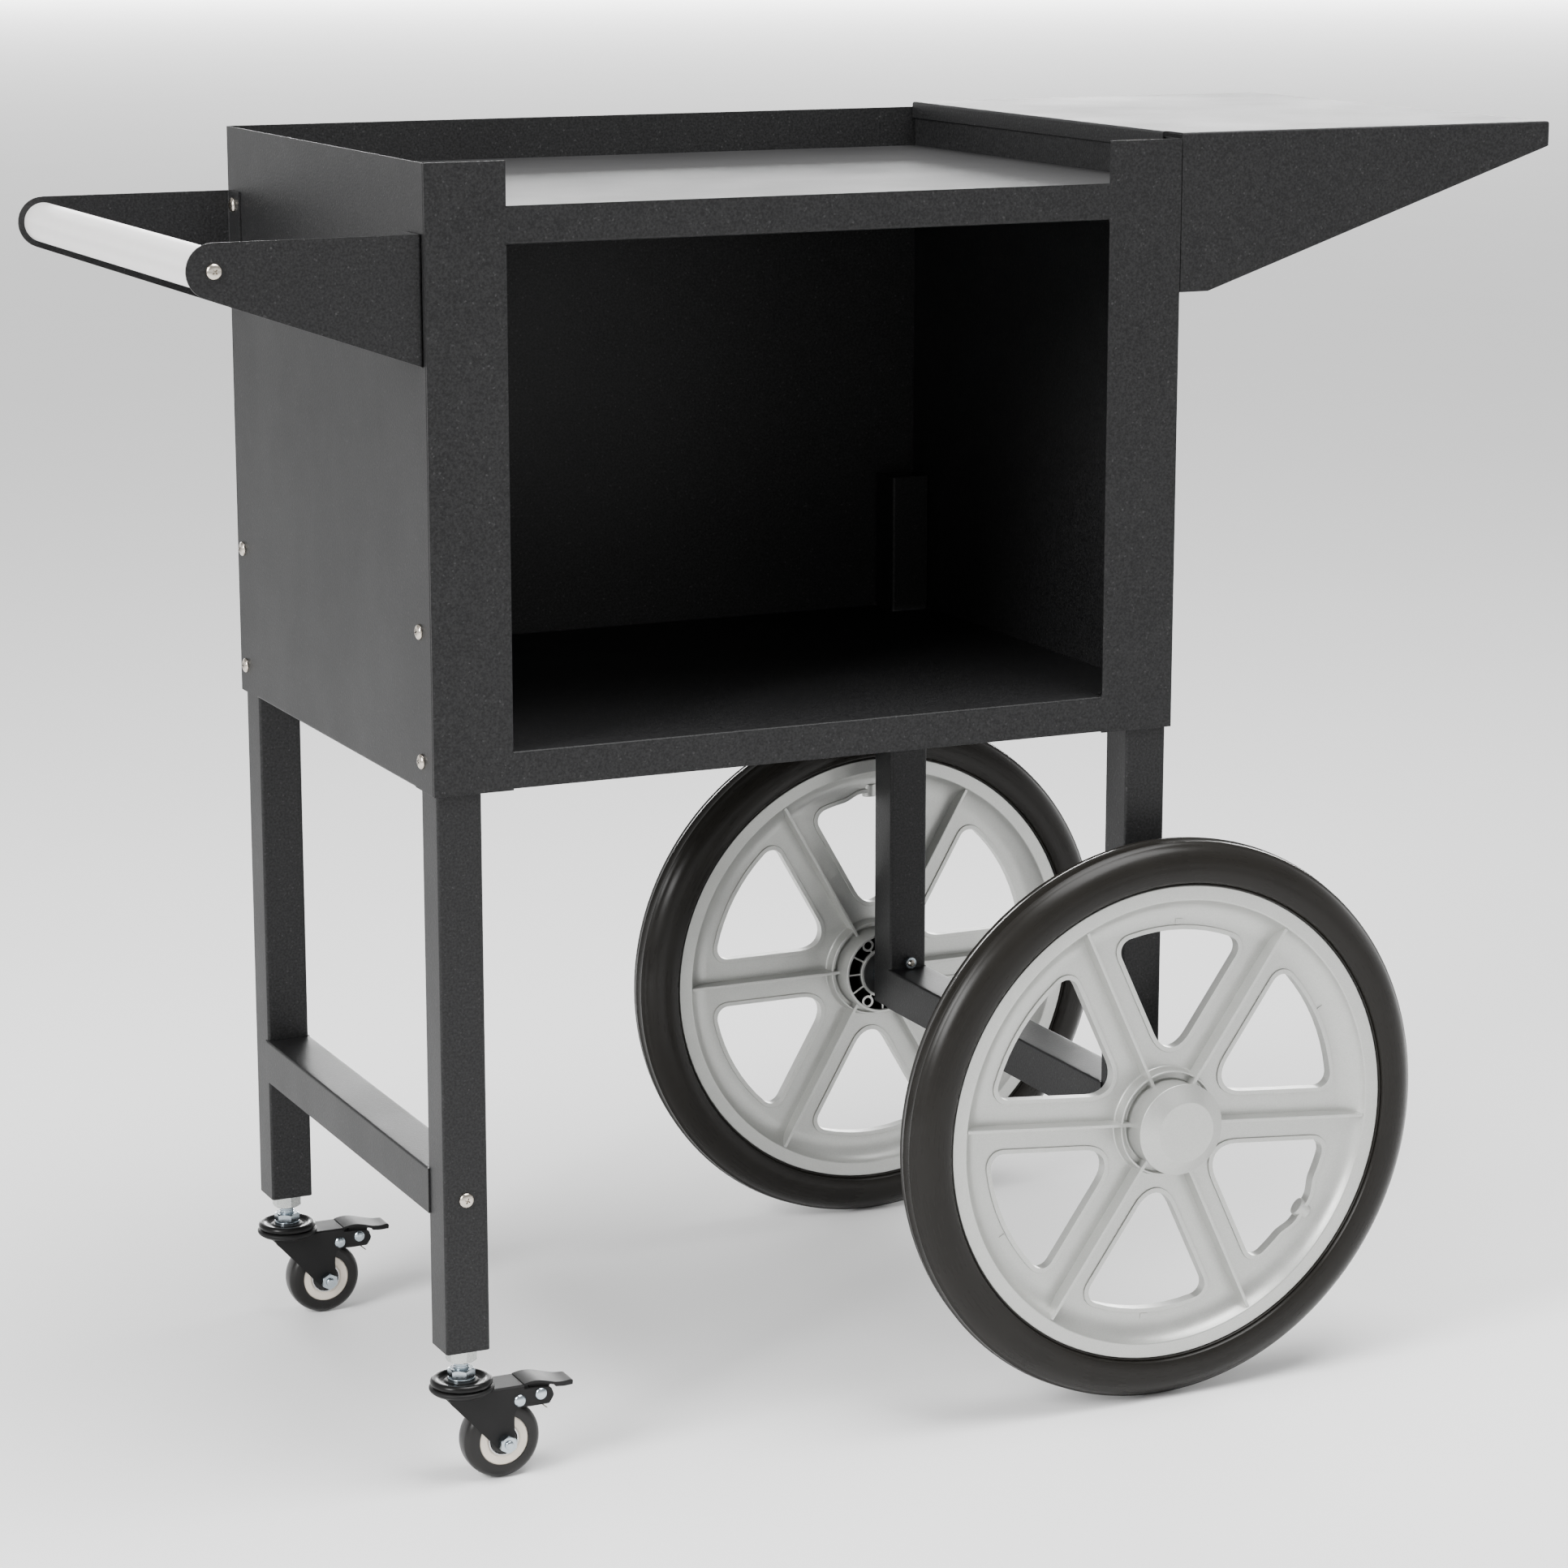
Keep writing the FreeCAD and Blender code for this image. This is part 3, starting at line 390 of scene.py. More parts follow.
@dataclass(frozen=True)
class Finishes:
    """The finishes that more than one piece shares."""

    powder: Material
    tray_powder: Material
    satin: Material
    nickel: Material
    zinc: Material
    pale_zinc: Material
    steel: Material
    spring: Material
    gloss: Material
    dipped: Material
    tread: Material
    cream: Material
    nylon: Material

    @classmethod
    def mixed(cls) -> "Finishes":
        """Makes every shared finish once."""
        return cls(
            powder=PowderCoat().make(),
            tray_powder=PowderCoat(name="tray_powder", roughness=0.46, index=1.50).make(),
            satin=Metal("handle_satin", "handle_satin", (0.78, 0.765, 0.755), (0.88, 0.865, 0.855), 0.38,
                        0.5 * MM, (1.0, 0.03, 1.0), 0.01 * MM, 0.35).make(),
            nickel=Metal("nickel_screws", "nickel_screws", (0.42, 0.38, 0.33), (0.62, 0.57, 0.50),
                         0.20).make(),
            zinc=Metal("zinc_plate", "zinc", (0.32, 0.37, 0.41), (0.54, 0.60, 0.64), 0.20).make(),
            pale_zinc=Metal("pale_zinc", "zinc", (0.36, 0.38, 0.37), (0.55, 0.56, 0.54), 0.26,
                            metallic=0.9).make(),
            steel=Metal("ground_steel", "bright_steel", (0.45, 0.45, 0.45), (0.68, 0.68, 0.68), 0.24,
                        0.6 * MM, (0.1, 1.0, 1.0)).make(),
            gloss=Moulded("gloss_black", "black_gloss", (0.004, 0.004, 0.0042), (0.010, 0.0098, 0.0096), 0.27,
                          2.5 * MM, 0.03 * MM, 0.08, 1.22).make(),
            spring=Metal("spring_steel", "bright_steel", (0.09, 0.08, 0.07), (0.20, 0.18, 0.16), 0.3).make(),
            dipped=Moulded("dipped_black", "black_gloss", (0.006, 0.006, 0.0062),
                           (0.015, 0.0148, 0.0146), 0.46, 1.0 * MM, 0.05 * MM, index=1.24).make(),
            tread=Moulded("caster_tread", "caster_rubber", (0.005, 0.0046, 0.0043),
                          (0.010, 0.0094, 0.0088), 0.30, 0.8 * MM, 0.02 * MM, index=1.36).make(),
            cream=Moulded("cream_hub", "cream_plastic", (0.66, 0.59, 0.50), (0.80, 0.73, 0.63), 0.42).make(),
            nylon=Moulded("black_nylon", "black_nylon", (0.008, 0.008, 0.008), (0.016, 0.016, 0.016),
                          0.5).make(),
        )


# ---------------------------------------------------------------- the bench
class Kind(Enum):
    """What a selection picks."""

    CORNER = "VERT"
    EDGE = "EDGE"
    FACE = "FACE"


class Facing(Enum):
    """The way a new flat sheet looks, as its turn about x, y and z in degrees."""

    UP = (0, 0, 0)
    FRONT = (90, 0, 0)
    BACK = (-90, 0, 0)
    LEFT = (0, -90, 0)
    RIGHT = (0, 90, 0)


class Side(Enum):
    """The two long ends of the cart, with the way out of each."""

    LEFT = -1
    RIGHT = 1

    @property
    def word(self) -> str:
        """The side's name, as the pieces use it."""
        return self.name.lower()


class End(Enum):
    """The front and the back of the cart, with the way out of each."""

    FRONT = -1
    BACK = 1

    @property
    def word(self) -> str:
        """The end's name, as the pieces use it."""
        return self.name.lower()


class Spot(NamedTuple):
    """Where one corner, edge or face is."""

    middle: Vector
    normal: Vector
    ends: list[Vector]


class Extent(NamedTuple):
    """The box of a node of the frame."""

    low: Vector
    high: Vector

    @property
    def middle(self) -> Vector:
        """The middle of the box."""
        return (self.low + self.high) / 2


Test = Callable[[Spot], bool]
Profile = Sequence[tuple[float, ...]]


def extent(node: str) -> Extent:
    """The box of a node of the frame, at rest."""
    return Extent(*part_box(node))


def level(value: float, wanted: float, slack: float = TINY) -> bool:
    """Whether two lengths are the same."""
    return abs(value - wanted) < slack


def everywhere(_: Spot) -> bool:
    """Picks all there is."""
    return True


class Bench:
    """The steps of modelling, each as one method."""

    @staticmethod
    def clear() -> None:
        """Leaves edit mode and drops every selection."""
        if bpy.context.mode != "OBJECT":
            bpy.ops.object.mode_set(mode="OBJECT")
        bpy.ops.object.select_all(action="DESELECT")

    @staticmethod
    def take(piece: Object) -> Object:
        """Makes a piece the only selected one, and the active one."""
        Bench.clear()
        piece.select_set(True)
        bpy.context.view_layer.objects.active = piece
        return piece

    @staticmethod
    def settle(name: str, size: Vector | None = None) -> Object:
        """Names the primitive just added and puts its size and place into its mesh.

        Args:
            name: its name.
            size: its size along x, y and z, where the primitive is one metre wide.

        Returns:
            The piece.
        """
        piece = bpy.context.object
        piece.name = piece.data.name = name
        if size is not None:
            bpy.ops.object.transform_apply(location=False, rotation=True, scale=False)
            piece.scale = [length or 1.0 for length in size]
        bpy.ops.object.transform_apply(location=True, rotation=True, scale=True)
        return piece

    @staticmethod
    def block(name: str, low: Sequence[float], high: Sequence[float]) -> Object:
        """A cube at its size and place.

        Args:
            name: its name.
            low: its lowest corner.
            high: its highest corner.

        Returns:
            The block.
        """
        Bench.clear()
        low, high = Vector(low), Vector(high)
        bpy.ops.mesh.primitive_cube_add(size=1, location=(low + high) / 2)
        return Bench.settle(name, high - low)

    @staticmethod
    def sheet(name: str, facing: Facing, low: Sequence[float], high: Sequence[float]) -> Object:
        """A flat sheet at its size and place, with no thickness yet.

        Args:
            name: its name.
            facing: the way its outer face looks.
            low: its lowest corner.
            high: its highest corner.

        Returns:
            The sheet.
        """
        Bench.clear()
        low, high = Vector(low), Vector(high)
        turn = Euler([math.radians(angle) for angle in facing.value])
        bpy.ops.mesh.primitive_plane_add(size=1, location=(low + high) / 2, rotation=turn)
        return Bench.settle(name, high - low)

    @staticmethod
    def rod(name: str, axis: str, start: Sequence[float], length: float, radius: float,
            sides: int = 48) -> Object:
        """A cylinder from one end.

        Args:
            name: its name.
            axis: "x", "y" or "z".
            start: the middle of its lower end.
            length: its length along the axis.
            radius: its radius.
            sides: how many flat sides it has.

        Returns:
            The rod.
        """
        Bench.clear()
        turn = {"x": (0, math.pi / 2, 0), "y": (-math.pi / 2, 0, 0), "z": (0, 0, 0)}[axis]
        middle = Vector(start)
        middle["xyz".index(axis)] += length / 2
        bpy.ops.mesh.primitive_cylinder_add(vertices=sides, radius=radius, depth=abs(length),
                                            location=middle, rotation=turn)
        return Bench.settle(name)

    @staticmethod
    def pick(piece: Object, kind: Kind, test: Test) -> None:
        """Opens a piece in edit mode with only some of its elements selected.

        Args:
            piece: the piece.
            kind: corners, edges or faces.
            test: which ones.
        """
        if bpy.context.mode == "OBJECT" or bpy.context.object != piece:
            Bench.take(piece)
            bpy.ops.object.mode_set(mode="EDIT")
        bpy.ops.mesh.select_mode(type=kind.value)
        bpy.ops.mesh.select_all(action="DESELECT")
        mesh = bmesh.from_edit_mesh(piece.data)
        elements = {Kind.CORNER: mesh.verts, Kind.EDGE: mesh.edges, Kind.FACE: mesh.faces}[kind]
        for element in elements:
            if kind is Kind.CORNER:
                spot = Spot(element.co, element.normal, [element.co])
            elif kind is Kind.EDGE:
                ends = [corner.co for corner in element.verts]
                spot = Spot((ends[0] + ends[1]) / 2, ends[1] - ends[0], ends)
            else:
                spot = Spot(element.calc_center_median(), element.normal, [v.co for v in element.verts])
            if test(spot):
                element.select_set(True)
        mesh.select_flush_mode()
        bmesh.update_edit_mesh(piece.data)

    @staticmethod
    def pull(piece: Object, kind: Kind, test: Test, way: Sequence[float]) -> None:
        """Extrudes part of a piece.

        Args:
            piece: the piece.
            kind: edges or faces.
            test: which ones.
            way: how far they go, along x, y and z.
        """
        Bench.pick(piece, kind, test)
        bpy.ops.mesh.extrude_region_move(TRANSFORM_OT_translate={"value": tuple(way)})

    @staticmethod
    def shift(piece: Object, kind: Kind, test: Test, way: Sequence[float]) -> None:
        """Moves part of a piece.

        Args:
            piece: the piece.
            kind: corners, edges or faces.
            test: which ones.
            way: how far they go, along x, y and z.
        """
        Bench.pick(piece, kind, test)
        bpy.ops.transform.translate(value=tuple(way))

    @staticmethod
    def slice(piece: Object, at: Sequence[float], across: Sequence[float], test: Test = everywhere) -> None:
        """Adds an edge where a plane crosses a piece.

        Args:
            piece: the piece.
            at: a point on the plane.
            across: the plane's normal.
            test: which faces are cut.
        """
        Bench.pick(piece, Kind.FACE, test)
        bpy.ops.mesh.bisect(plane_co=tuple(at), plane_no=tuple(across))

    @staticmethod
    def slice_at(piece: Object, axis: int, places: Iterable[float], test: Test = everywhere) -> None:
        """Adds edges where level planes cross a piece.

        Args:
            piece: the piece.
            axis: 0, 1 or 2, the axis that the planes stand across.
            places: where on the axis they are.
            test: which faces are cut.
        """
        across = [0.0, 0.0, 0.0]
        across[axis] = 1.0
        for place in places:
            Bench.slice(piece, [place * part for part in across], across, test)

    @staticmethod
    def drop(piece: Object, test: Test) -> None:
        """Deletes faces of a piece."""
        Bench.pick(piece, Kind.FACE, test)
        bpy.ops.mesh.delete(type="FACE")

    @staticmethod
    def round_off(piece: Object, test: Test, radius: float, segments: int = 3) -> None:
        """Bevels edges of a piece to a radius.

        Args:
            piece: the piece.
            test: which edges.
            radius: the radius.
            segments: how many strips make the curve.
        """
        Bench.pick(piece, Kind.EDGE, test)
        bpy.ops.mesh.bevel(offset=radius, segments=segments, affect="EDGES")

    @staticmethod
    def bend(piece: Object, radius: float) -> None:
        """Gives every fold of a thin sheet its radius, edge by edge where two faces meet at an angle."""
        Bench.pick(piece, Kind.EDGE, lambda spot: False)
        mesh = bmesh.from_edit_mesh(piece.data)
        for edge in mesh.edges:
            if len(edge.link_faces) == 2 and edge.calc_face_angle() > math.radians(20):
                edge.select_set(True)
        bmesh.update_edit_mesh(piece.data)
        bpy.ops.mesh.bevel(offset=radius, segments=3, affect="EDGES")

    @staticmethod
    def change(piece: Object, kind: str, **settings: object) -> None:
        """Adds a modifier and applies it.

        Args:
            piece: the piece.
            kind: the modifier's type.
            **settings: its settings.
        """
        Bench.take(piece)
        bpy.ops.object.modifier_add(type=kind)
        modifier = piece.modifiers[-1]
        for name, value in settings.items():
            setattr(modifier, name, value)
        bpy.ops.object.modifier_apply(modifier=modifier.name)

    @staticmethod
    def thicken(piece: Object, thickness: float) -> None:
        """Gives a sheet its thickness, behind its outer face."""
        Bench.change(piece, "SOLIDIFY", thickness=thickness, offset=-1.0, use_even_offset=True)

    @staticmethod
    def soften(piece: Object, width: float, angle: float = 50.0, segments: int = 2) -> None:
        """Takes the sharpness off every hard edge.

        Args:
            piece: the piece.
            width: the width of the bevel.
            angle: the smallest angle that counts as hard, in degrees.
            segments: how many strips make the bevel.
        """
        Bench.change(piece, "BEVEL", width=width, segments=segments, limit_method="ANGLE",
                     angle_limit=math.radians(angle), use_clamp_overlap=True)

    @staticmethod
    def join_shapes(piece: Object, tools: Iterable[Object], operation: str,
                    solver: str = "MANIFOLD") -> Object:
        """Adds shapes to a piece, cuts them out of it, or keeps what they share.

        Args:
            piece: the piece.
            tools: the shapes, which are used up.
            operation: "UNION", "DIFFERENCE" or "INTERSECT".
            solver: Blender's name for the method.

        Returns:
            The piece.
        """
        for tool in tools:
            Bench.clear()
            Bench.change(piece, "BOOLEAN", object=tool, operation=operation, solver=solver)
            bpy.data.objects.remove(tool)
        return piece

    @staticmethod
    def path(name: str, points: Sequence[Vector], closed: bool = False) -> Object:
        """A chain of edges: one corner, extruded from point to point.

        Args:
            name: its name.
            points: the points in order.
            closed: whether an edge joins the last point to the first.

        Returns:
            The chain, in edit mode with all of it selected.
        """
        Bench.clear()
        bpy.ops.mesh.primitive_plane_add(size=MM, location=points[0])
        piece = Bench.settle(name)
        Bench.pick(piece, Kind.CORNER, everywhere)
        bpy.ops.mesh.merge(type="CENTER")
        for here, there in zip(points, points[1:]):
            bpy.ops.mesh.extrude_vertices_move(TRANSFORM_OT_translate={"value": tuple(there - here)})
        if closed:
            first, last = points[0], points[-1]
            Bench.pick(piece, Kind.CORNER,
                       lambda s: min((s.middle - first).length, (s.middle - last).length) < TINY)
            bpy.ops.mesh.edge_face_add()
        Bench.pick(piece, Kind.CORNER, everywhere)
        return piece

    @staticmethod
    def ease(piece: Object, corners: Sequence[tuple[Vector, float]], segments: int = 4) -> None:
        """Rounds corners of a chain of edges.

        Args:
            piece: the chain.
            corners: each corner with the length that its curve takes off the edges.
            segments: how many edges make a curve.
        """
        for corner, setback in corners:
            Bench.pick(piece, Kind.CORNER, lambda spot: (spot.middle - corner).length < TINY)
            bpy.ops.mesh.bevel(offset=setback, segments=segments, affect="VERTICES")

    @staticmethod
    def turned(name: str, axis: str, centre: Vector, profile: Profile, steps: int = 48,
               out: float = 1.0) -> Object:
        """A turned piece: a profile spun round an axis.

        Args:
            name: its name.
            axis: "y" or "z".
            centre: a point on the axis.
            profile: corners as (radius, place along the axis) or (radius, place, rounding), in millimetres.
            steps: how many faces there are round it.
            out: 1 or -1, the way that places along the axis count.

        Returns:
            The piece.
        """
        along = Vector((0, out, 0)) if axis == "y" else Vector((0, 0, out))
        points = [centre + Vector((corner[0] * MM, 0, 0)) + along * corner[1] * MM for corner in profile]
        closed = profile[0][0] > 0 and profile[-1][0] > 0
        piece = Bench.path(name, points, closed)
        Bench.ease(piece, [(point, corner[2] * MM) for point, corner in zip(points, profile)
                           if len(corner) > 2])
        Bench.pick(piece, Kind.CORNER, everywhere)
        bpy.ops.mesh.spin(steps=steps, angle=FULL_TURN, center=tuple(centre), axis=tuple(map(abs, along)))
        return Bench.close(piece)

    @staticmethod
    def close(piece: Object) -> Object:
        """Merges the seams of a piece and turns all its faces outwards."""
        Bench.pick(piece, Kind.CORNER, everywhere)
        bpy.ops.mesh.remove_doubles(threshold=0.002 * MM)
        bpy.ops.mesh.normals_make_consistent(inside=False)
        Bench.clear()
        return piece

    @staticmethod
    def outline(name: str, corners: Profile, place: Vector, depth: float,
                upright: bool = True, segments: int = 6) -> Object:
        """A flat shape filled from its outline.

        Args:
            name: its name.
            corners: (across, up) or (across, up, rounding), in millimetres from the place.
            place: the point that the corners count from.
            depth: how far it is extruded along y, or along z for one that lies flat, in metres.
            upright: whether it stands in the x-z plane; if not, it lies in the x-y plane.
            segments: how many edges make a rounded corner.

        Returns:
            The shape, with no thickness where the depth is nought.
        """
        def spot(corner: tuple[float, ...]) -> Vector:
            """The corner's place in the cart."""
            up = (0, corner[1] * MM) if upright else (corner[1] * MM, 0)
            return place + Vector((corner[0] * MM, *up))

        points = [spot(corner) for corner in corners]
        piece = Bench.path(name, points, closed=True)
        Bench.ease(piece, [(point, corner[2] * MM) for point, corner in zip(points, corners)
                           if len(corner) > 2], segments)
        Bench.pick(piece, Kind.CORNER, everywhere)
        bpy.ops.mesh.edge_face_add()
        if not depth:
            return piece
        way = (0, depth, 0) if upright else (0, 0, depth)
        Bench.pull(piece, Kind.FACE, everywhere, way)
        return Bench.close(piece)

    @staticmethod
    def turn(piece: Object, centre: Vector, axis: str, angle: float) -> Object:
        """Turns a piece and puts the turn into its mesh.

        Args:
            piece: the piece.
            centre: the point it turns about.
            axis: "X", "Y" or "Z".
            angle: the angle, in radians.

        Returns:
            The piece.
        """
        Bench.take(piece)
        spin = Matrix.Rotation(angle, 4, axis)
        piece.matrix_world = Matrix.Translation(centre) @ spin @ Matrix.Translation(-centre)
        bpy.ops.object.transform_apply(location=True, rotation=True, scale=True)
        return piece

    @staticmethod
    def copy(piece: Object, name: str, place: Matrix) -> Object:
        """A copy with its own mesh, at another place.

        Args:
            piece: the piece that is copied.
            name: the copy's name.
            place: where the copy goes, from where the piece is.

        Returns:
            The copy.
        """
        Bench.take(piece)
        bpy.ops.object.duplicate(linked=False)
        twin = bpy.context.object
        twin.name = twin.data.name = name
        twin.matrix_world = place
        bpy.ops.object.transform_apply(location=True, rotation=True, scale=True)
        if place.determinant() < 0:
            Bench.close(twin)
        return twin


@dataclass
class Shop:
    """Finishes pieces: smooths them, dresses them and hands them to the frame."""

    finishes: Finishes

    def deliver(self, piece: Object, body: str, material: Material, slot: str, *nodes: str,
                angle: float = 32.0) -> Object:
        """Finishes one piece.

        Args:
            piece: the piece.
            body: the body it moves with.
            material: its finish.
            slot: the slot for that finish; it is not used.
            *nodes: the nodes of the frame that it stands for.
            angle: faces that meet at less than this look smooth, in degrees.

        Returns:
            The piece.
        """
        Bench.take(piece)
        bpy.ops.object.shade_smooth_by_angle(angle=math.radians(angle), keep_sharp_edges=False)
        Bench.change(piece, "WEIGHTED_NORMAL", keep_sharp=True)
        piece.data.materials.clear()
        piece.data.materials.append(material)
        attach(piece, body)
        if nodes:
            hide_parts(*nodes)
        LOG.info("%s rides on %s and has %d faces", piece.name, body, len(piece.data.polygons))
        return piece

    def dress(self, material: Material, *nodes: str) -> None:
        """Gives nodes of the frame, whose shape stays, their finish.

        Args:
            material: the finish.
            *nodes: the nodes.
        """
        for node in nodes:
            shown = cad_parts[node]
            for place in shown.material_slots:
                place.material = material
            LOG.info("%s keeps its shape and gets %s", node, material.name)


# ---------------------------------------------------------------- the cabinet and what hangs on it
@dataclass
class Cabinet:
    """The folded sheet-metal box: two sides, a back, a front frame, the tray and the floor."""

    shop: Shop
    sheet: float = 1.2 * MM
    fold: float = 1.7 * MM
    edge: float = 0.42 * MM
    column: float = 50.4 * MM
    hem: float = 16 * MM
    corner_gap: float = 32 * MM
    top_rail: tuple[float, float] = (759.5 * MM, 782 * MM)
    bottom_rail: tuple[float, float] = (437 * MM, 459.5 * MM)
    pan_depth: float = 18 * MM
    leg_notch: tuple[float, float] = (31.2 * MM, 29.8 * MM)
    side_gap: float = 1.4 * MM
    back_gap: float = 1.6 * MM

    def _finish(self, piece: Object, node: str, paint: Material | None = None) -> Object:
        """Bends, thickens and coats one folded sheet.

        Args:
            piece: the flat sheets that meet at its folds.
            node: the node it stands for.
            paint: its finish, if it isn't the usual powder coat.

        Returns:
            The finished piece.
        """
        Bench.bend(piece, self.fold)
        Bench.thicken(piece, self.sheet)
        Bench.soften(piece, self.edge)
        return self.shop.deliver(piece, "cart", paint or self.shop.finishes.powder, "powder_coat", node)

    def side_panel(self, side: Side) -> Object:
        """One side sheet with its hems.

        Args:
            side: the left or the right one.

        Returns:
            The panel.
        """
        node = f"{side.word}_side_panel"
        low, high = extent(node)
        outer, inward = (low.x, 1) if side is Side.LEFT else (high.x, -1)
        facing = Facing.LEFT if side is Side.LEFT else Facing.RIGHT
        piece = Bench.sheet(f"{node}_sheet", facing, (outer, low.y, low.z), (outer, high.y, high.z))
        hem_ends = (low.y + self.corner_gap, high.y - self.corner_gap)
        Bench.slice_at(piece, 1, hem_ends)
        Bench.pull(piece, Kind.EDGE,
                   lambda s: level(s.middle.z, low.z) and hem_ends[0] < s.middle.y < hem_ends[1],
                   (inward * self.hem, 0, 0))
        Bench.pull(piece, Kind.EDGE, lambda s: level(s.middle.y, low.y) and level(s.middle.x, outer),
                   (inward * self.hem, 0, 0))
        return self._finish(piece, node)

    def back_panel(self) -> Object:
        """The back sheet with a hem under the floor."""
        low, high = extent("back_panel")
        piece = Bench.sheet("back_panel_sheet", Facing.BACK, (low.x, high.y, low.z), high)
        Bench.slice_at(piece, 0, (low.x + self.corner_gap, high.x - self.corner_gap))
        middle = (low.x + high.x) / 2
        Bench.pull(piece, Kind.EDGE,
                   lambda s: level(s.middle.z, low.z) and level(s.middle.x, middle, 1 * MM),
                   (0, -self.hem, 0))
        return self._finish(piece, "back_panel")

    def front_frame(self) -> Object:
        """The front sheet, cut to two columns and two rails, with returns on the rails."""
        low, high = extent("front_frame")
        inner = (low.x + self.column, high.x - self.column)
        rails = (*self.bottom_rail, *self.top_rail)
        piece = Bench.sheet("front_frame_sheet", Facing.FRONT, low, (high.x, low.y, high.z))
        Bench.slice_at(piece, 0, inner)
        Bench.slice_at(piece, 2, rails)

        def between(spot: Spot) -> bool:
            """Whether a spot is between the columns."""
            return inner[0] < spot.middle.x < inner[1]

        Bench.drop(piece, lambda s: between(s) and (s.middle.z < rails[0] or s.middle.z > rails[3]
                                                    or rails[1] < s.middle.z < rails[2]))
        Bench.pull(piece, Kind.EDGE,
                   lambda s: between(s) and any(level(s.middle.z, z) for z in rails[1:3]),
                   (0, self.hem, 0))
        return self._finish(piece, "front_frame")

    def tray(self) -> Object:
        """The raised pan that the machine stands on."""
        low, high = extent("tray_plate")
        piece = Bench.sheet("tray_plate_sheet", Facing.UP, (low.x, low.y, high.z), high)
        Bench.pull(piece, Kind.EDGE, lambda s: any(level(s.middle.y, y) for y in (low.y, high.y)),
                   (0, 0, -self.pan_depth))
        return self._finish(piece, "tray_plate", self.shop.finishes.tray_powder)

    def floor(self) -> Object:
        """The bottom of the cabinet, with a notch at each corner for a leg."""
        low, high = extent("cabinet_floor")
        side, deep = self.leg_notch
        inner_x = (low.x + side - self.side_gap, high.x - side + self.side_gap)
        inner_y = (extent("front_frame").low.y + deep, extent("back_panel").high.y - deep - self.back_gap)
        piece = Bench.sheet("cabinet_floor_sheet", Facing.UP, (low.x, low.y, high.z), high)
        Bench.slice_at(piece, 0, inner_x)
        Bench.slice_at(piece, 1, inner_y)
        Bench.drop(piece, lambda s: not inner_x[0] < s.middle.x < inner_x[1]
                   and not inner_y[0] < s.middle.y < inner_y[1])
        Bench.pull(piece, Kind.EDGE, lambda s: any(level(s.middle.y, y) for y in (low.y, high.y)),
                   (0, 0, -self.pan_depth))
        return self._finish(piece, "cabinet_floor")

    def build(self) -> None:
        """Makes the whole cabinet."""
        for side in Side:
            self.side_panel(side)
        self.back_panel()
        self.front_frame()
        self.tray()
        self.floor()


@dataclass
class Underframe:
    """Four square tube legs and the two channels that tie them in pairs."""

    shop: Shop
    sheet: float = 1.2 * MM
    tube_radius: float = 2.0 * MM
    fold: float = 1.6 * MM
    channel_height: float = 28.6 * MM
    lap: float = 3 * MM
    tab_inset: float = 5.2 * MM
    tab_height: tuple[float, float] = (-24 * MM, 12 * MM)
    top_hollow: float = -40 * MM
    foot_hollow: float = 14 * MM

    def leg(self, side: Side, end: End) -> Object:
        """One leg: a block with round corners, hollow at its open ends.

        Args:
            side: the side of the cart.
            end: the front or the back.

        Returns:
            The leg.
        """
        node = f"{end.word}_{side.word}_leg"
        low, high = extent(node)
        piece = Bench.block(f"{node}_tube", low, high)
        Bench.round_off(piece, lambda s: level(s.middle.z, (low.z + high.z) / 2, 1 * MM), self.tube_radius, 4)
        for height, depth in ((high.z, self.top_hollow), (low.z, self.foot_hollow)):
            Bench.pick(piece, Kind.FACE, lambda s: level(s.middle.z, height))
            bpy.ops.mesh.inset(thickness=self.sheet)
            bpy.ops.mesh.extrude_region_move(TRANSFORM_OT_translate={"value": (0, 0, depth)})
        Bench.soften(piece, 0.25 * MM)
        return self.shop.deliver(piece, "cart", self.shop.finishes.powder, "powder_coat", node)

    def crossbar(self, side: Side) -> Object:
        """One channel, open below, with flanges that lap the legs and a bolted tab at each end.

        Args:
            side: the side of the cart.

        Returns:
            The crossbar.
        """
        node = f"{side.word}_crossbar"
        low, high = extent(node)
        top = high.z if side is Side.LEFT else high.z - self.tab_height[1]
        ends = (low.y + self.lap, high.y - self.lap)
        tab = (low.x + self.tab_inset, high.x - self.tab_inset)
        piece = Bench.sheet(f"{node}_channel", Facing.UP, (low.x, ends[0], top), (high.x, ends[1], top))
        Bench.slice_at(piece, 0, tab)
        Bench.pull(piece, Kind.EDGE, lambda s: any(level(s.middle.x, x) for x in (low.x, high.x)),
                   (0, 0, -self.channel_height))
        for place, out in zip(ends, (-1, 1)):
            Bench.pull(piece, Kind.EDGE, lambda s: level(s.middle.y, place) and level(s.normal.y, 0)
                       and s.middle.z < top - self.lap, (0, out * self.lap, 0))
            Bench.pull(piece, Kind.EDGE, lambda s: level(s.middle.y, place) and level(s.middle.z, top)
                       and tab[0] < s.middle.x < tab[1],
                       (0, 0, self.tab_height[0] if side is Side.LEFT else self.tab_height[1]))
        Bench.bend(piece, self.fold)
        Bench.thicken(piece, self.sheet)
        Bench.soften(piece, 0.2 * MM)
        return self.shop.deliver(piece, "cart", self.shop.finishes.powder, "powder_coat", node)

    def build(self) -> None:
        """Makes the legs and the crossbars."""
        for side in Side:
            self.crossbar(side)
            for end in End:
                self.leg(side, end)


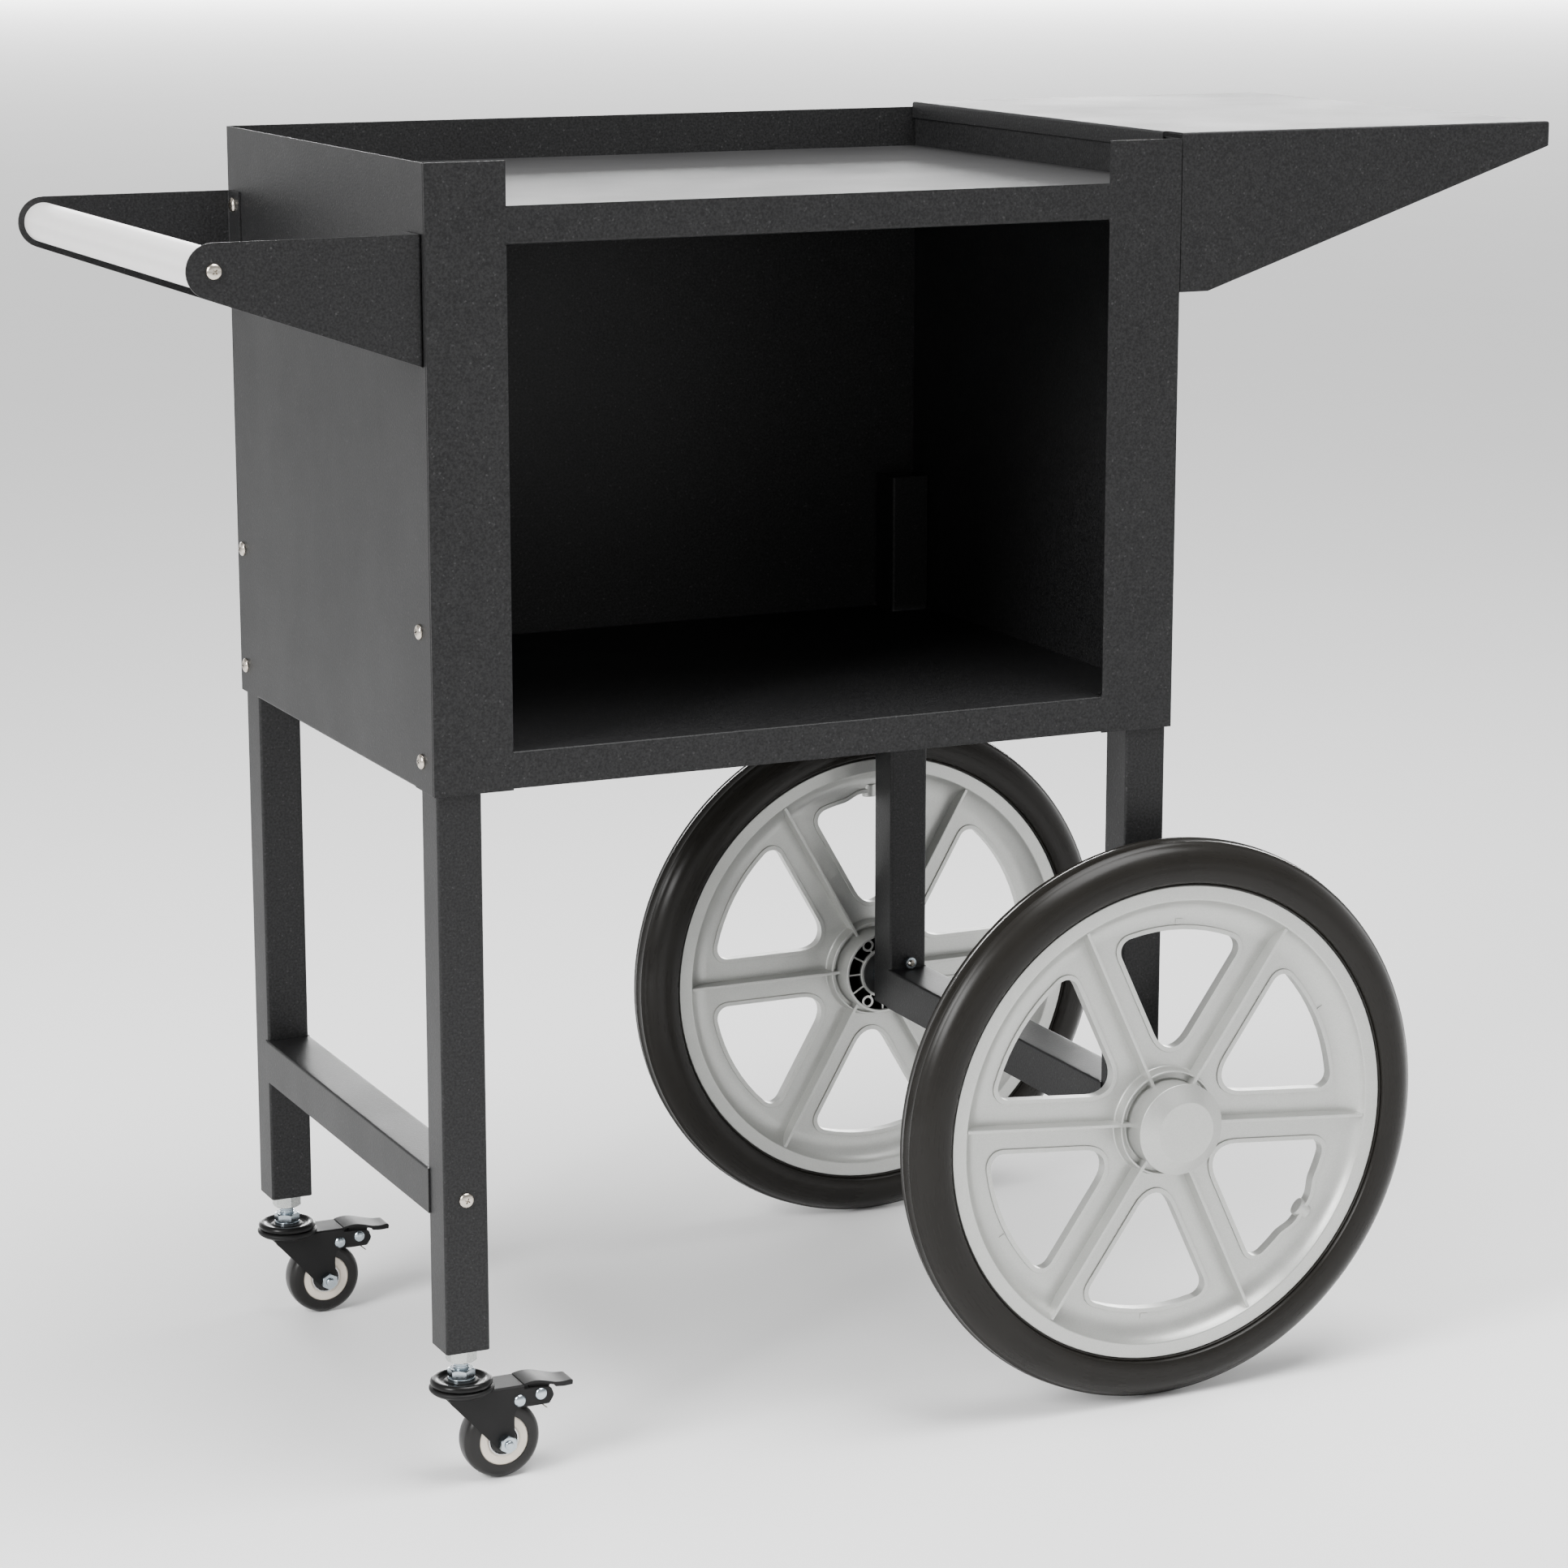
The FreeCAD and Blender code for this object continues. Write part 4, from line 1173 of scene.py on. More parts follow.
@dataclass
class SideShelf:
    """The folded shelf over the wheels, with its tapering gussets, lip and hook."""

    shop: Shop
    sheet: float = 1.2 * MM
    fold: float = 1.6 * MM
    lip: float = 15.5 * MM
    hook_reach: float = 4.2 * MM
    hook_drop: float = 11 * MM
    hook_start: float = 18 * MM
    gusset_flat: float = 20.2 * MM
    flange: float = 20 * MM
    flange_start: float = 10 * MM

    def build(self) -> Object:
        """Folds the shelf from one flat sheet."""
        low, high = extent("side_shelf")
        start = low.x + self.hook_reach
        flat = start + self.gusset_flat
        hook_y = (low.y + self.hook_start, high.y - 2 * MM)
        piece = Bench.sheet("side_shelf_sheet", Facing.UP, (start, low.y, high.z), high)
        Bench.slice_at(piece, 0, (flat,))
        Bench.slice_at(piece, 1, hook_y)

        def hem(spot: Spot) -> bool:
            """The two long edges and the far end."""
            long_edge = any(level(spot.middle.y, y) for y in (low.y, high.y))
            return long_edge or level(spot.middle.x, high.x)

        Bench.pull(piece, Kind.EDGE, hem, (0, 0, -self.lip))
        Bench.shift(piece, Kind.CORNER,
                    lambda s: level(s.middle.z, high.z - self.lip) and s.middle.x < flat + TINY,
                    (0, 0, low.z - high.z + self.lip))
        flange_top = high.z - self.flange_start
        for y, inward in ((low.y, 1), (high.y, -1)):
            Bench.slice_at(piece, 2, (flange_top,), lambda s: level(s.middle.y, y) and s.middle.x < flat)
            Bench.pull(piece, Kind.EDGE, lambda s: level(s.middle.y, y) and level(s.middle.x, start)
                       and s.middle.z < flange_top, (0, inward * self.flange, 0))
        Bench.pull(piece, Kind.EDGE, lambda s: level(s.middle.x, start) and level(s.middle.z, high.z)
                   and hook_y[0] < s.middle.y < hook_y[1], (-self.hook_reach, 0, 0))
        Bench.pull(piece, Kind.EDGE, lambda s: level(s.middle.x, low.x), (0, 0, -self.hook_drop))
        Bench.bend(piece, self.fold)
        Bench.thicken(piece, self.sheet)
        Bench.soften(piece, 0.2 * MM)
        return self.shop.deliver(piece, "cart", self.shop.finishes.powder, "powder_coat", "side_shelf")


@dataclass
class PushHandle:
    """Two tapering brackets with round ends and the tube between them."""

    shop: Shop
    plate: float = 1.5 * MM
    fold: float = 2.2 * MM
    tip_radius: float = 16.3 * MM
    flange: float = 22 * MM
    tube_wall: float = 1.5
    tip_steps: int = 14

    def bracket(self, end: End) -> Object:
        """One bracket, its flange folded in behind it.

        Args:
            end: the front or the back.

        Returns:
            The bracket.
        """
        node = f"{end.word}_handle_bracket"
        low, high = extent(node)
        face_y, inward = (low.y, 1) if end is End.FRONT else (high.y, -1)
        tip = Vector((low.x + self.tip_radius, face_y, high.z - self.tip_radius))
        drop, reach = tip.z - low.z, high.x - tip.x
        touch = math.atan2(-drop, reach) - math.acos(self.tip_radius / math.hypot(reach, drop))
        sweep = (touch + 1.5 * math.pi) / self.tip_steps
        arc = [math.pi / 2 + sweep * step for step in range(self.tip_steps + 1)]
        corners = [(reach / MM, -drop / MM), (reach / MM, self.tip_radius / MM)]
        corners += [(self.tip_radius / MM * math.cos(a), self.tip_radius / MM * math.sin(a)) for a in arc]
        piece = Bench.outline(f"{node}_plate", corners, tip, 0.0)
        Bench.pick(piece, Kind.FACE, everywhere)
        mesh = bmesh.from_edit_mesh(piece.data)
        mesh.faces.ensure_lookup_table()
        if mesh.faces[0].normal.y * inward > 0:
            bpy.ops.mesh.flip_normals()
        Bench.pull(piece, Kind.EDGE, lambda s: level(s.middle.x, high.x), (0, inward * self.flange, 0))
        Bench.bend(piece, self.fold)
        Bench.thicken(piece, self.plate)
        Bench.soften(piece, 0.25 * MM)
        return self.shop.deliver(piece, "cart", self.shop.finishes.powder, "powder_coat", node)

    def tube(self) -> Object:
        """The satin tube."""
        low, high = extent("handle_tube")
        radius, length = (high.z - low.z) / 2 / MM, (high.y - low.y) / MM
        centre = Vector(((low.x + high.x) / 2, low.y, (low.z + high.z) / 2))
        bore = radius - self.tube_wall
        profile = [(bore, 0), (radius, 0, 0.4), (radius, length, 0.4), (bore, length)]
        piece = Bench.turned("handle_tube_sleeve", "y", centre, profile, 72)
        return self.shop.deliver(piece, "cart", self.shop.finishes.satin, "handle_satin", "handle_tube")

    def build(self) -> None:
        """Makes the brackets and the tube."""
        for end in End:
            self.bracket(end)
        self.tube()


# ---------------------------------------------------------------- screws and nuts
@dataclass
class Fasteners:
    """Pan-head cross-recess screws, each copied from one pattern."""

    shop: Shop
    head_radius: float = 4.8
    head_height: float = 2.7
    shank_radius: float = 2.45
    recess_reach: float = 2.9 * MM
    recess_width: float = 1.25 * MM
    recess_depth: float = 1.9 * MM
    recess_taper: float = 0.62
    plate_reach: float = 9
    handle_reach: float = 14
    crossbar_reach: float = 34
    panel_insets: tuple[float, float] = (17.5 * MM, 9.5 * MM)
    bracket_inset: float = 10.5 * MM
    bracket_plate: float = 1.5 * MM
    shelf_inset: float = 10 * MM
    shelf_plate: float = 1.6 * MM
    first_twist: float = 0.35
    twist_step: float = 0.83
    panel_heights: tuple[float, float] = (454.2 * MM, 532.4 * MM)
    bracket_heights: tuple[float, float] = (699.0 * MM, 758.2 * MM)
    shelf_heights: tuple[float, float] = (730.0 * MM, 768.0 * MM)
    crossbar_heights: tuple[float, float] = (184.6 * MM, 201.5 * MM)

    def pattern(self, length: float) -> Object:
        """One screw at the origin, its head towards -y.

        Args:
            length: how far it reaches behind its seat, in millimetres.

        Returns:
            The screw.
        """
        crown, brim = -self.head_height, self.head_radius
        profile = [(0, crown), (2.6, crown + 0.12, 0.9), (brim - 0.55, crown + 0.95, 0.6), (brim, -0.75, 0.5),
                   (brim - 0.1, 0), (self.shank_radius, 0), (self.shank_radius, length - 1), (1.7, length),
                   (0, length)]
        screw = Bench.turned("screw_pattern", "y", Vector((0, 0, 0)), profile, 40)
        bottom = (crown + 0.1) * MM
        for turn in (0, 1):
            reach = (self.recess_reach, self.recess_width / 2)[::1 if turn else -1]
            arm = Bench.block("recess", (-reach[0], -self.head_height * MM * 1.3, -reach[1]),
                              (reach[0], bottom + self.recess_depth, reach[1]))
            Bench.pick(arm, Kind.FACE, lambda s: s.middle.y > bottom)
            bpy.ops.transform.resize(value=(self.recess_taper, 1, self.recess_taper))
            Bench.join_shapes(screw, [arm], "DIFFERENCE", "EXACT")
        return screw

    def place(self, pattern: Object, name: str, node: str, seat: Vector, out: Vector, twist: float) -> None:
        """Puts one screw in its hole.

        Args:
            pattern: the screw that is copied.
            name: the screw's name.
            node: the node of the frame that it stands for.
            seat: where its head sits.
            out: the way its head points.
            twist: how far it is turned about its own axis, in radians.
        """
        aim = Vector((0, -1, 0)).rotation_difference(out).to_matrix().to_4x4()
        twisted = Matrix.Translation(seat) @ aim @ Matrix.Rotation(twist, 4, "Y")
        screw = Bench.copy(pattern, name, twisted)
        self.shop.deliver(screw, "cart", self.shop.finishes.nickel, "nickel_screws", node)

    def build(self) -> None:
        """Places every screw on the cart."""
        left, right = extent("left_side_panel").low.x, extent("right_side_panel").high.x
        front, back = extent("front_frame").low.y, extent("back_panel").high.y
        short = self.plate_reach
        seats: list[tuple[str, str, Vector, Vector, float]] = []
        for end in End:
            post = extent(f"{end.word}_left_leg")
            near_front = end is End.FRONT
            panel_y = post.low.y + self.panel_insets[0] if near_front else post.high.y - self.panel_insets[1]
            for side in Side:
                face = left if side is Side.LEFT else right
                out = Vector((side.value, 0, 0))
                for height, spot in zip(self.panel_heights, ("lower", "upper")):
                    name = f"panel_screw_{side.word}_{end.word}_{spot}"
                    seats.append(("panel_screws", name, Vector((face, panel_y, height)), out, short))
                leg = extent(f"{end.word}_{side.word}_leg")
                height = self.crossbar_heights[0 if side is Side.LEFT else 1]
                seat = Vector((leg.middle.x, leg.low.y if near_front else leg.high.y, height))
                name = f"crossbar_screw_{side.word}_{end.word}"
                seats.append(("crossbar_screws", name, seat, Vector((0, end.value, 0)), self.crossbar_reach))
            bracket = extent(f"{end.word}_handle_bracket")
            bracket_y = bracket.low.y if near_front else bracket.high.y
            flange_y = bracket_y - end.value * self.bracket_inset
            shelf_y = (front if near_front else back) - end.value * self.shelf_inset
            for place, spot in enumerate(("lower", "upper")):
                seat = Vector((left - self.bracket_plate, flange_y, self.bracket_heights[place]))
                name = f"bracket_screw_{end.word}_{spot}"
                seats.append(("bracket_screws", name, seat, Vector((-1, 0, 0)), short))
                seat = Vector((right + self.shelf_plate, shelf_y, self.shelf_heights[place]))
                name = f"shelf_screw_{end.word}_{spot}"
                seats.append(("shelf_screws", name, seat, Vector((1, 0, 0)), short))
            tube = extent("handle_tube").middle
            name = f"handle_screw_{end.word}"
            seat = Vector((tube.x, bracket_y, tube.z))
            seats.append(("handle_screws", name, seat, Vector((0, end.value, 0)), self.handle_reach))
        patterns = {length: self.pattern(length) for length in sorted({seat[4] for seat in seats})}
        for count, (node, name, seat, out, length) in enumerate(seats):
            twist = self.first_twist + self.twist_step * count
            self.place(patterns[length], name, node, seat, out, twist)
        for pattern in patterns.values():
            bpy.data.objects.remove(pattern)


# ---------------------------------------------------------------- the large wheels
@dataclass
class BigWheel:
    """A moulded six-rib wheel with its solid tyre and hub cap. Lengths across it count from its mid-plane."""

    shop: Shop
    end: End
    web: float = 2.5
    rim: tuple[float, float] = (156.6, 12.7)
    cove: tuple[float, float] = (131.0, 147.0)
    cove_turn: float = 66.0
    rib_half: float = 1.45
    rib_height: float = 12.0
    rib_end: float = 146.2
    rib_taper: float = 0.78
    rib_round: float = 0.45
    window_side: float = 17.5
    window_outer: float = 126.0
    border: float = 3.0
    border_height: float = 1.1
    first_ribs: tuple[float, float] = (-5.0, 0.0)
    valve_window: tuple[int, int] = (5, 1)
    valve_dip: float = 3.9
    valve_span: tuple[float, float] = (3.4, 10.5)
    pad_angles: tuple[float, float] = (86.0, -95.0)
    line_angles: tuple[float, float] = (28.0, 208.0)
    ridge: float = 0.8
    ridge_steps: tuple[int, int, int] = (20, 24, 28)
    tyre_steps: int = 48
    tyre_bulge: float = 17.4

    def __post_init__(self) -> None:
        """Finds the wheel's middle from its tyre."""
        self.centre = extent(f"{self.end.word}_wheel_tyre").middle
        self.out = float(self.end.value)
        self.first_rib = self.first_ribs[0 if self.end is End.FRONT else 1]
        self.paint = SilverPaint(f"{self.end.word}_wheel_silver", self.centre, self.out).make()

    def _cove(self, rising: bool) -> list[tuple[float, float]]:
        """The hollow curve between the web and the rim's edge, on the outer face."""
        turn = math.radians(self.cove_turn)
        wide, deep = self.cove[1] - self.cove[0], self.rim[1] - self.web
        curve = []
        for step in range(9):
            angle = turn * step / 8
            radius = self.cove[0] + wide * math.sin(angle) / math.sin(turn)
            curve.append((radius, self.web + deep * (1 - math.cos(angle)) / (1 - math.cos(turn))))
        return curve if rising else [(radius, -across) for radius, across in reversed(curve)]

    def _spun(self) -> Object:
        """The rim, web and hub, turned in one piece."""
        edge, half = self.rim
        profile: list[tuple[float, ...]] = [
            (18.3, -25, 0.4), (14, -25, 0.4), (14, 14), (22.6, 14), (22.6, 24.5), (28.4, 24.5),
            (28.4, 5.5, 1.2), (33.3, 5.5, 0.6), (33.3, 10.5, 0.5), (34.7, 10.5, 0.5),
            (35.9, self.web, 0.9), *self._cove(True)[:-1],
            (self.cove[1], half, 0.7), (edge, half, 0.7), (edge, -half, 0.7), (self.cove[1], -half, 0.7),
            *self._cove(False)[1:], (35.9, -self.web, 0.9), (34.7, -10.5, 0.5), (33.3, -10.5, 0.5),
            (33.3, -5.5, 0.6), (29.8, -5.5, 1.2), (29.8, -25, 0.5), (27.8, -25, 0.5), (27.8, 2), (22.6, 2),
            (22.6, 11), (18.3, 11),
        ]
        return Bench.turned(f"{self.end.word}_wheel_moulding", "y", self.centre, profile, 144, self.out)

    def _dip(self, angle: float) -> float:
        """How far the valve's window reaches out beyond its arc, on both sides of the valve.

        Args:
            angle: the angle from the window's middle, in radians.

        Returns:
            The distance, in millimetres.
        """
        near, far = self.valve_span
        part = min(max((far - abs(math.degrees(angle))) / (far - near), 0.0), 1.0)
        return self.valve_dip * (0.5 - 0.5 * math.cos(math.pi * part))

    def _window(self, name: str, middle: float, grow: float, half: float, valve: bool = False) -> Object:
        """One window's outline as a plate.

        Args:
            name: its name.
            middle: the angle of its middle, in degrees.
            grow: how far its outline is moved outwards, in millimetres.
            half: half of its thickness, in millimetres.
            valve: whether its outer arc waves round the valve's boss.

        Returns:
            The plate, in its place on the wheel.
        """
        wedge = math.pi / 6
        tip = (self.window_side - grow) / math.sin(wedge)
        outer = self.window_outer + grow
        reach = wedge - math.asin((self.window_side - grow) / outer)
        hub_round = (15.0 + grow) / math.tan(wedge)
        rim_round = 11.0 + grow
        inner = reach - rim_round / outer
        steps = 44 if valve else 8
        arc = [inner * (1 - 2 * step / steps) for step in range(steps + 1)]
        swell = [outer + (self._dip(angle) if valve else 0.0) for angle in arc]
        corners: list[tuple[float, ...]] = [(tip, 0, hub_round)]
        corners.append((outer * math.cos(-reach), outer * math.sin(-reach), rim_round * 0.96))
        corners += [(far * math.cos(angle), far * math.sin(angle))
                    for angle, far in zip(reversed(arc), reversed(swell))]
        corners.append((outer * math.cos(reach), outer * math.sin(reach), rim_round * 0.96))
        place = self.centre - Vector((0, half * MM, 0))
        plate = Bench.outline(name, corners, place, 2 * half * MM, segments=10)
        return Bench.turn(plate, self.centre, "Y", -math.radians(middle))

    def _rib(self, angle: float) -> list[Object]:
        """Both halves of one rib, tapered for the mould.

        Args:
            angle: the rib's angle, in degrees.

        Returns:
            The outer and the inner half.
        """
        halves = []
        for side, start in ((self.out, 25.0), (-self.out, 28.8)):
            far = side * self.rib_height
            low = self.centre + Vector((start, min(0, far), -self.rib_half)) * MM
            high = self.centre + Vector((self.rib_end, max(0, far), self.rib_half)) * MM
            rib = Bench.block("rib", low, high)
            top = self.centre.y + far * MM
            Bench.pick(rib, Kind.FACE, lambda s: level(s.middle.y, top))
            bpy.ops.transform.resize(value=(1, 1, self.rib_taper))
            Bench.round_off(rib,
                            lambda s: level(s.middle.y, top) and abs(s.normal.x) > 0.5 * (high.x - low.x),
                            self.rib_round * MM, 2)
            Bench.clear()
            halves.append(Bench.turn(rib, self.centre, "Y", -math.radians(angle)))
        return halves

    def _spokes(self, name: str, low: Triple, high: Triple, angles: Iterable[float]) -> list[Object]:
        """The same small block at several angles round the axis.

        Args:
            name: its name.
            low: its lowest corner from the wheel's middle, in millimetres, as if at angle nought.
            high: its highest corner.
            angles: the angles, in degrees.

        Returns:
            The blocks.
        """
        ys = sorted((low[1] * self.out, high[1] * self.out))
        corners = (Vector((low[0], ys[0], low[2])) * MM, Vector((high[0], ys[1], high[2])) * MM)
        blocks = []
        for angle in angles:
            block = Bench.block(name, self.centre + corners[0], self.centre + corners[1])
            blocks.append(Bench.turn(block, self.centre, "Y", -math.radians(angle)))
        return blocks

    def _boss(self, angle: float, radius: float, away: float, reach: tuple[float, float]) -> Object:
        """A round boss or bore along y at a place on the wheel.

        Args:
            angle: its angle, in degrees.
            radius: its radius, in millimetres.
            away: how far it is from the axis, in millimetres.
            reach: where it starts and ends across the wheel, outwards from the mid-plane, in millimetres.

        Returns:
            The boss.
        """
        ends = sorted(limit * self.out for limit in reach)
        place = Vector((away * math.cos(math.radians(angle)), ends[0], away * math.sin(math.radians(angle))))
        return Bench.rod("boss", "y", self.centre + place * MM, (ends[1] - ends[0]) * MM, radius * MM, 40)

    def _valve_boss(self, angle: float) -> Object:
        """The oval boss, made like a valve's seat, that points at the hub.

        Args:
            angle: its angle, in degrees.

        Returns:
            The boss.
        """
        boss = Bench.rod("valve", "x", self.centre + Vector((126.6, 0, 0)) * MM, 9 * MM, 6.0 * MM, 40)
        Bench.pick(boss, Kind.FACE, everywhere)
        bpy.ops.transform.resize(value=(1, 0.72, 1))
        Bench.round_off(boss, lambda s: level(s.middle.x, self.centre.x + 126.6 * MM), 0.7 * MM, 2)
        Bench.clear()
        return Bench.turn(boss, self.centre, "Y", -math.radians(angle))

    def wheel(self) -> Object:
        """The moulding: ribs, window borders, hub fins and the valve's boss."""
        piece = self._spun()
        angles = [self.first_rib + 60 * step for step in range(6)]
        middles = [angle + 30 for angle in angles]
        valve = middles[self.valve_window[0 if self.end is End.FRONT else 1]]
        stand = self.web + self.border_height
        adds: list[Object] = []
        for middle in middles:
            plate = self._window("border", middle, self.border, stand, middle == valve)
            Bench.round_off(plate, lambda s: level(abs(s.middle.y - self.centre.y), stand * MM), 0.5 * MM, 2)
            Bench.clear()
            adds.append(plate)
        for angle in angles:
            adds += self._rib(angle)
        fins = [self.first_rib + 30 * step for step in range(12)]
        adds += self._spokes("fin", (17.3, -23, -0.6), (28.6, 3, 0.6), fins)
        adds += [self._boss(self.first_rib + 120 * step, 4.5, 24.2, (-23, 3)) for step in range(3)]
        adds += self._spokes("pad", (129.4, 0, -2.6), (133, self.web + 0.5, 2.6), self.pad_angles)
        adds += self._spokes("mould_line", (129.4, 0, -0.3), (133.4, self.web + 0.8, 0.3), self.line_angles)
        Bench.join_shapes(piece, adds, "UNION")
        cuts = [self._window("window", middle, 0.0, 8.0, middle == valve) for middle in middles]
        cuts += [self._boss(self.first_rib + 120 * step, 2.9, 24.2, (-24, -4)) for step in range(3)]
        Bench.join_shapes(piece, cuts, "DIFFERENCE")
        Bench.join_shapes(piece, [self._valve_boss(valve)], "UNION")
        return self.shop.deliver(piece, f"{self.end.word}_wheel", self.paint, "wheel_silver",
                                 f"{self.end.word}_wheel_rim", angle=26)

    def tyre(self) -> Object:
        """The solid tyre: bead lips, a round crown and three fine ridges."""
        low, high = extent(f"{self.end.word}_wheel_tyre")
        crown = (high.z - low.z) / 2 / MM
        bead, bulge = self.rim[0], self.tyre_bulge
        middle = crown - bulge
        start = math.acos((bead + 1.6 - middle) / bulge)
        profile: list[tuple[float, ...]] = [(bead, -13.3), (bead + 0.6, -13.9, 0.3), (bead + 1.6, -13.3)]
        for step in range(1, self.tyre_steps):
            angle = start * (1 - 2 * step / self.tyre_steps)
            swell = bulge + (self.ridge if step in self.ridge_steps else 0.0)
            profile.append((middle + swell * math.cos(angle) - self.ridge, -swell * math.sin(angle)))
        profile += [(bead + 1.6, 13.3), (bead + 0.6, 13.9, 0.3), (bead, 13.3)]
        piece = Bench.turned(f"{self.end.word}_tyre", "y", self.centre, profile, 160, self.out)
        rubber = TyreRubber(f"{self.end.word}_tyre_rubber", self.centre).make()
        return self.shop.deliver(piece, f"{self.end.word}_wheel", rubber, "tyre_rubber",
                                 f"{self.end.word}_wheel_tyre", angle=50)

    def cap(self) -> Object:
        """The hub cap: collar, cone and flat end over a plug skirt."""
        profile = [(0, 33), (19.7, 33, 0.5), (29.2, 26.8, 0.5), (30, 26.3, 0.3), (30, 24.6, 0.3),
                   (22.5, 24.6), (22.5, 18), (20.9, 18), (20.9, 30.1), (18.9, 31.4), (0, 31.4)]
        piece = Bench.turned(f"{self.end.word}_wheel_cap", "y", self.centre, profile, 96, self.out)
        return self.shop.deliver(piece, f"{self.end.word}_wheel", self.paint, "wheel_silver",
                                 f"{self.end.word}_hub_cap")

    def build(self) -> None:
        """Makes the wheel, its tyre and its cap."""
        self.wheel()
        self.tyre()
        self.cap()
        self.shop.dress(self.shop.finishes.nylon, f"{self.end.word}_wheel_bushes")


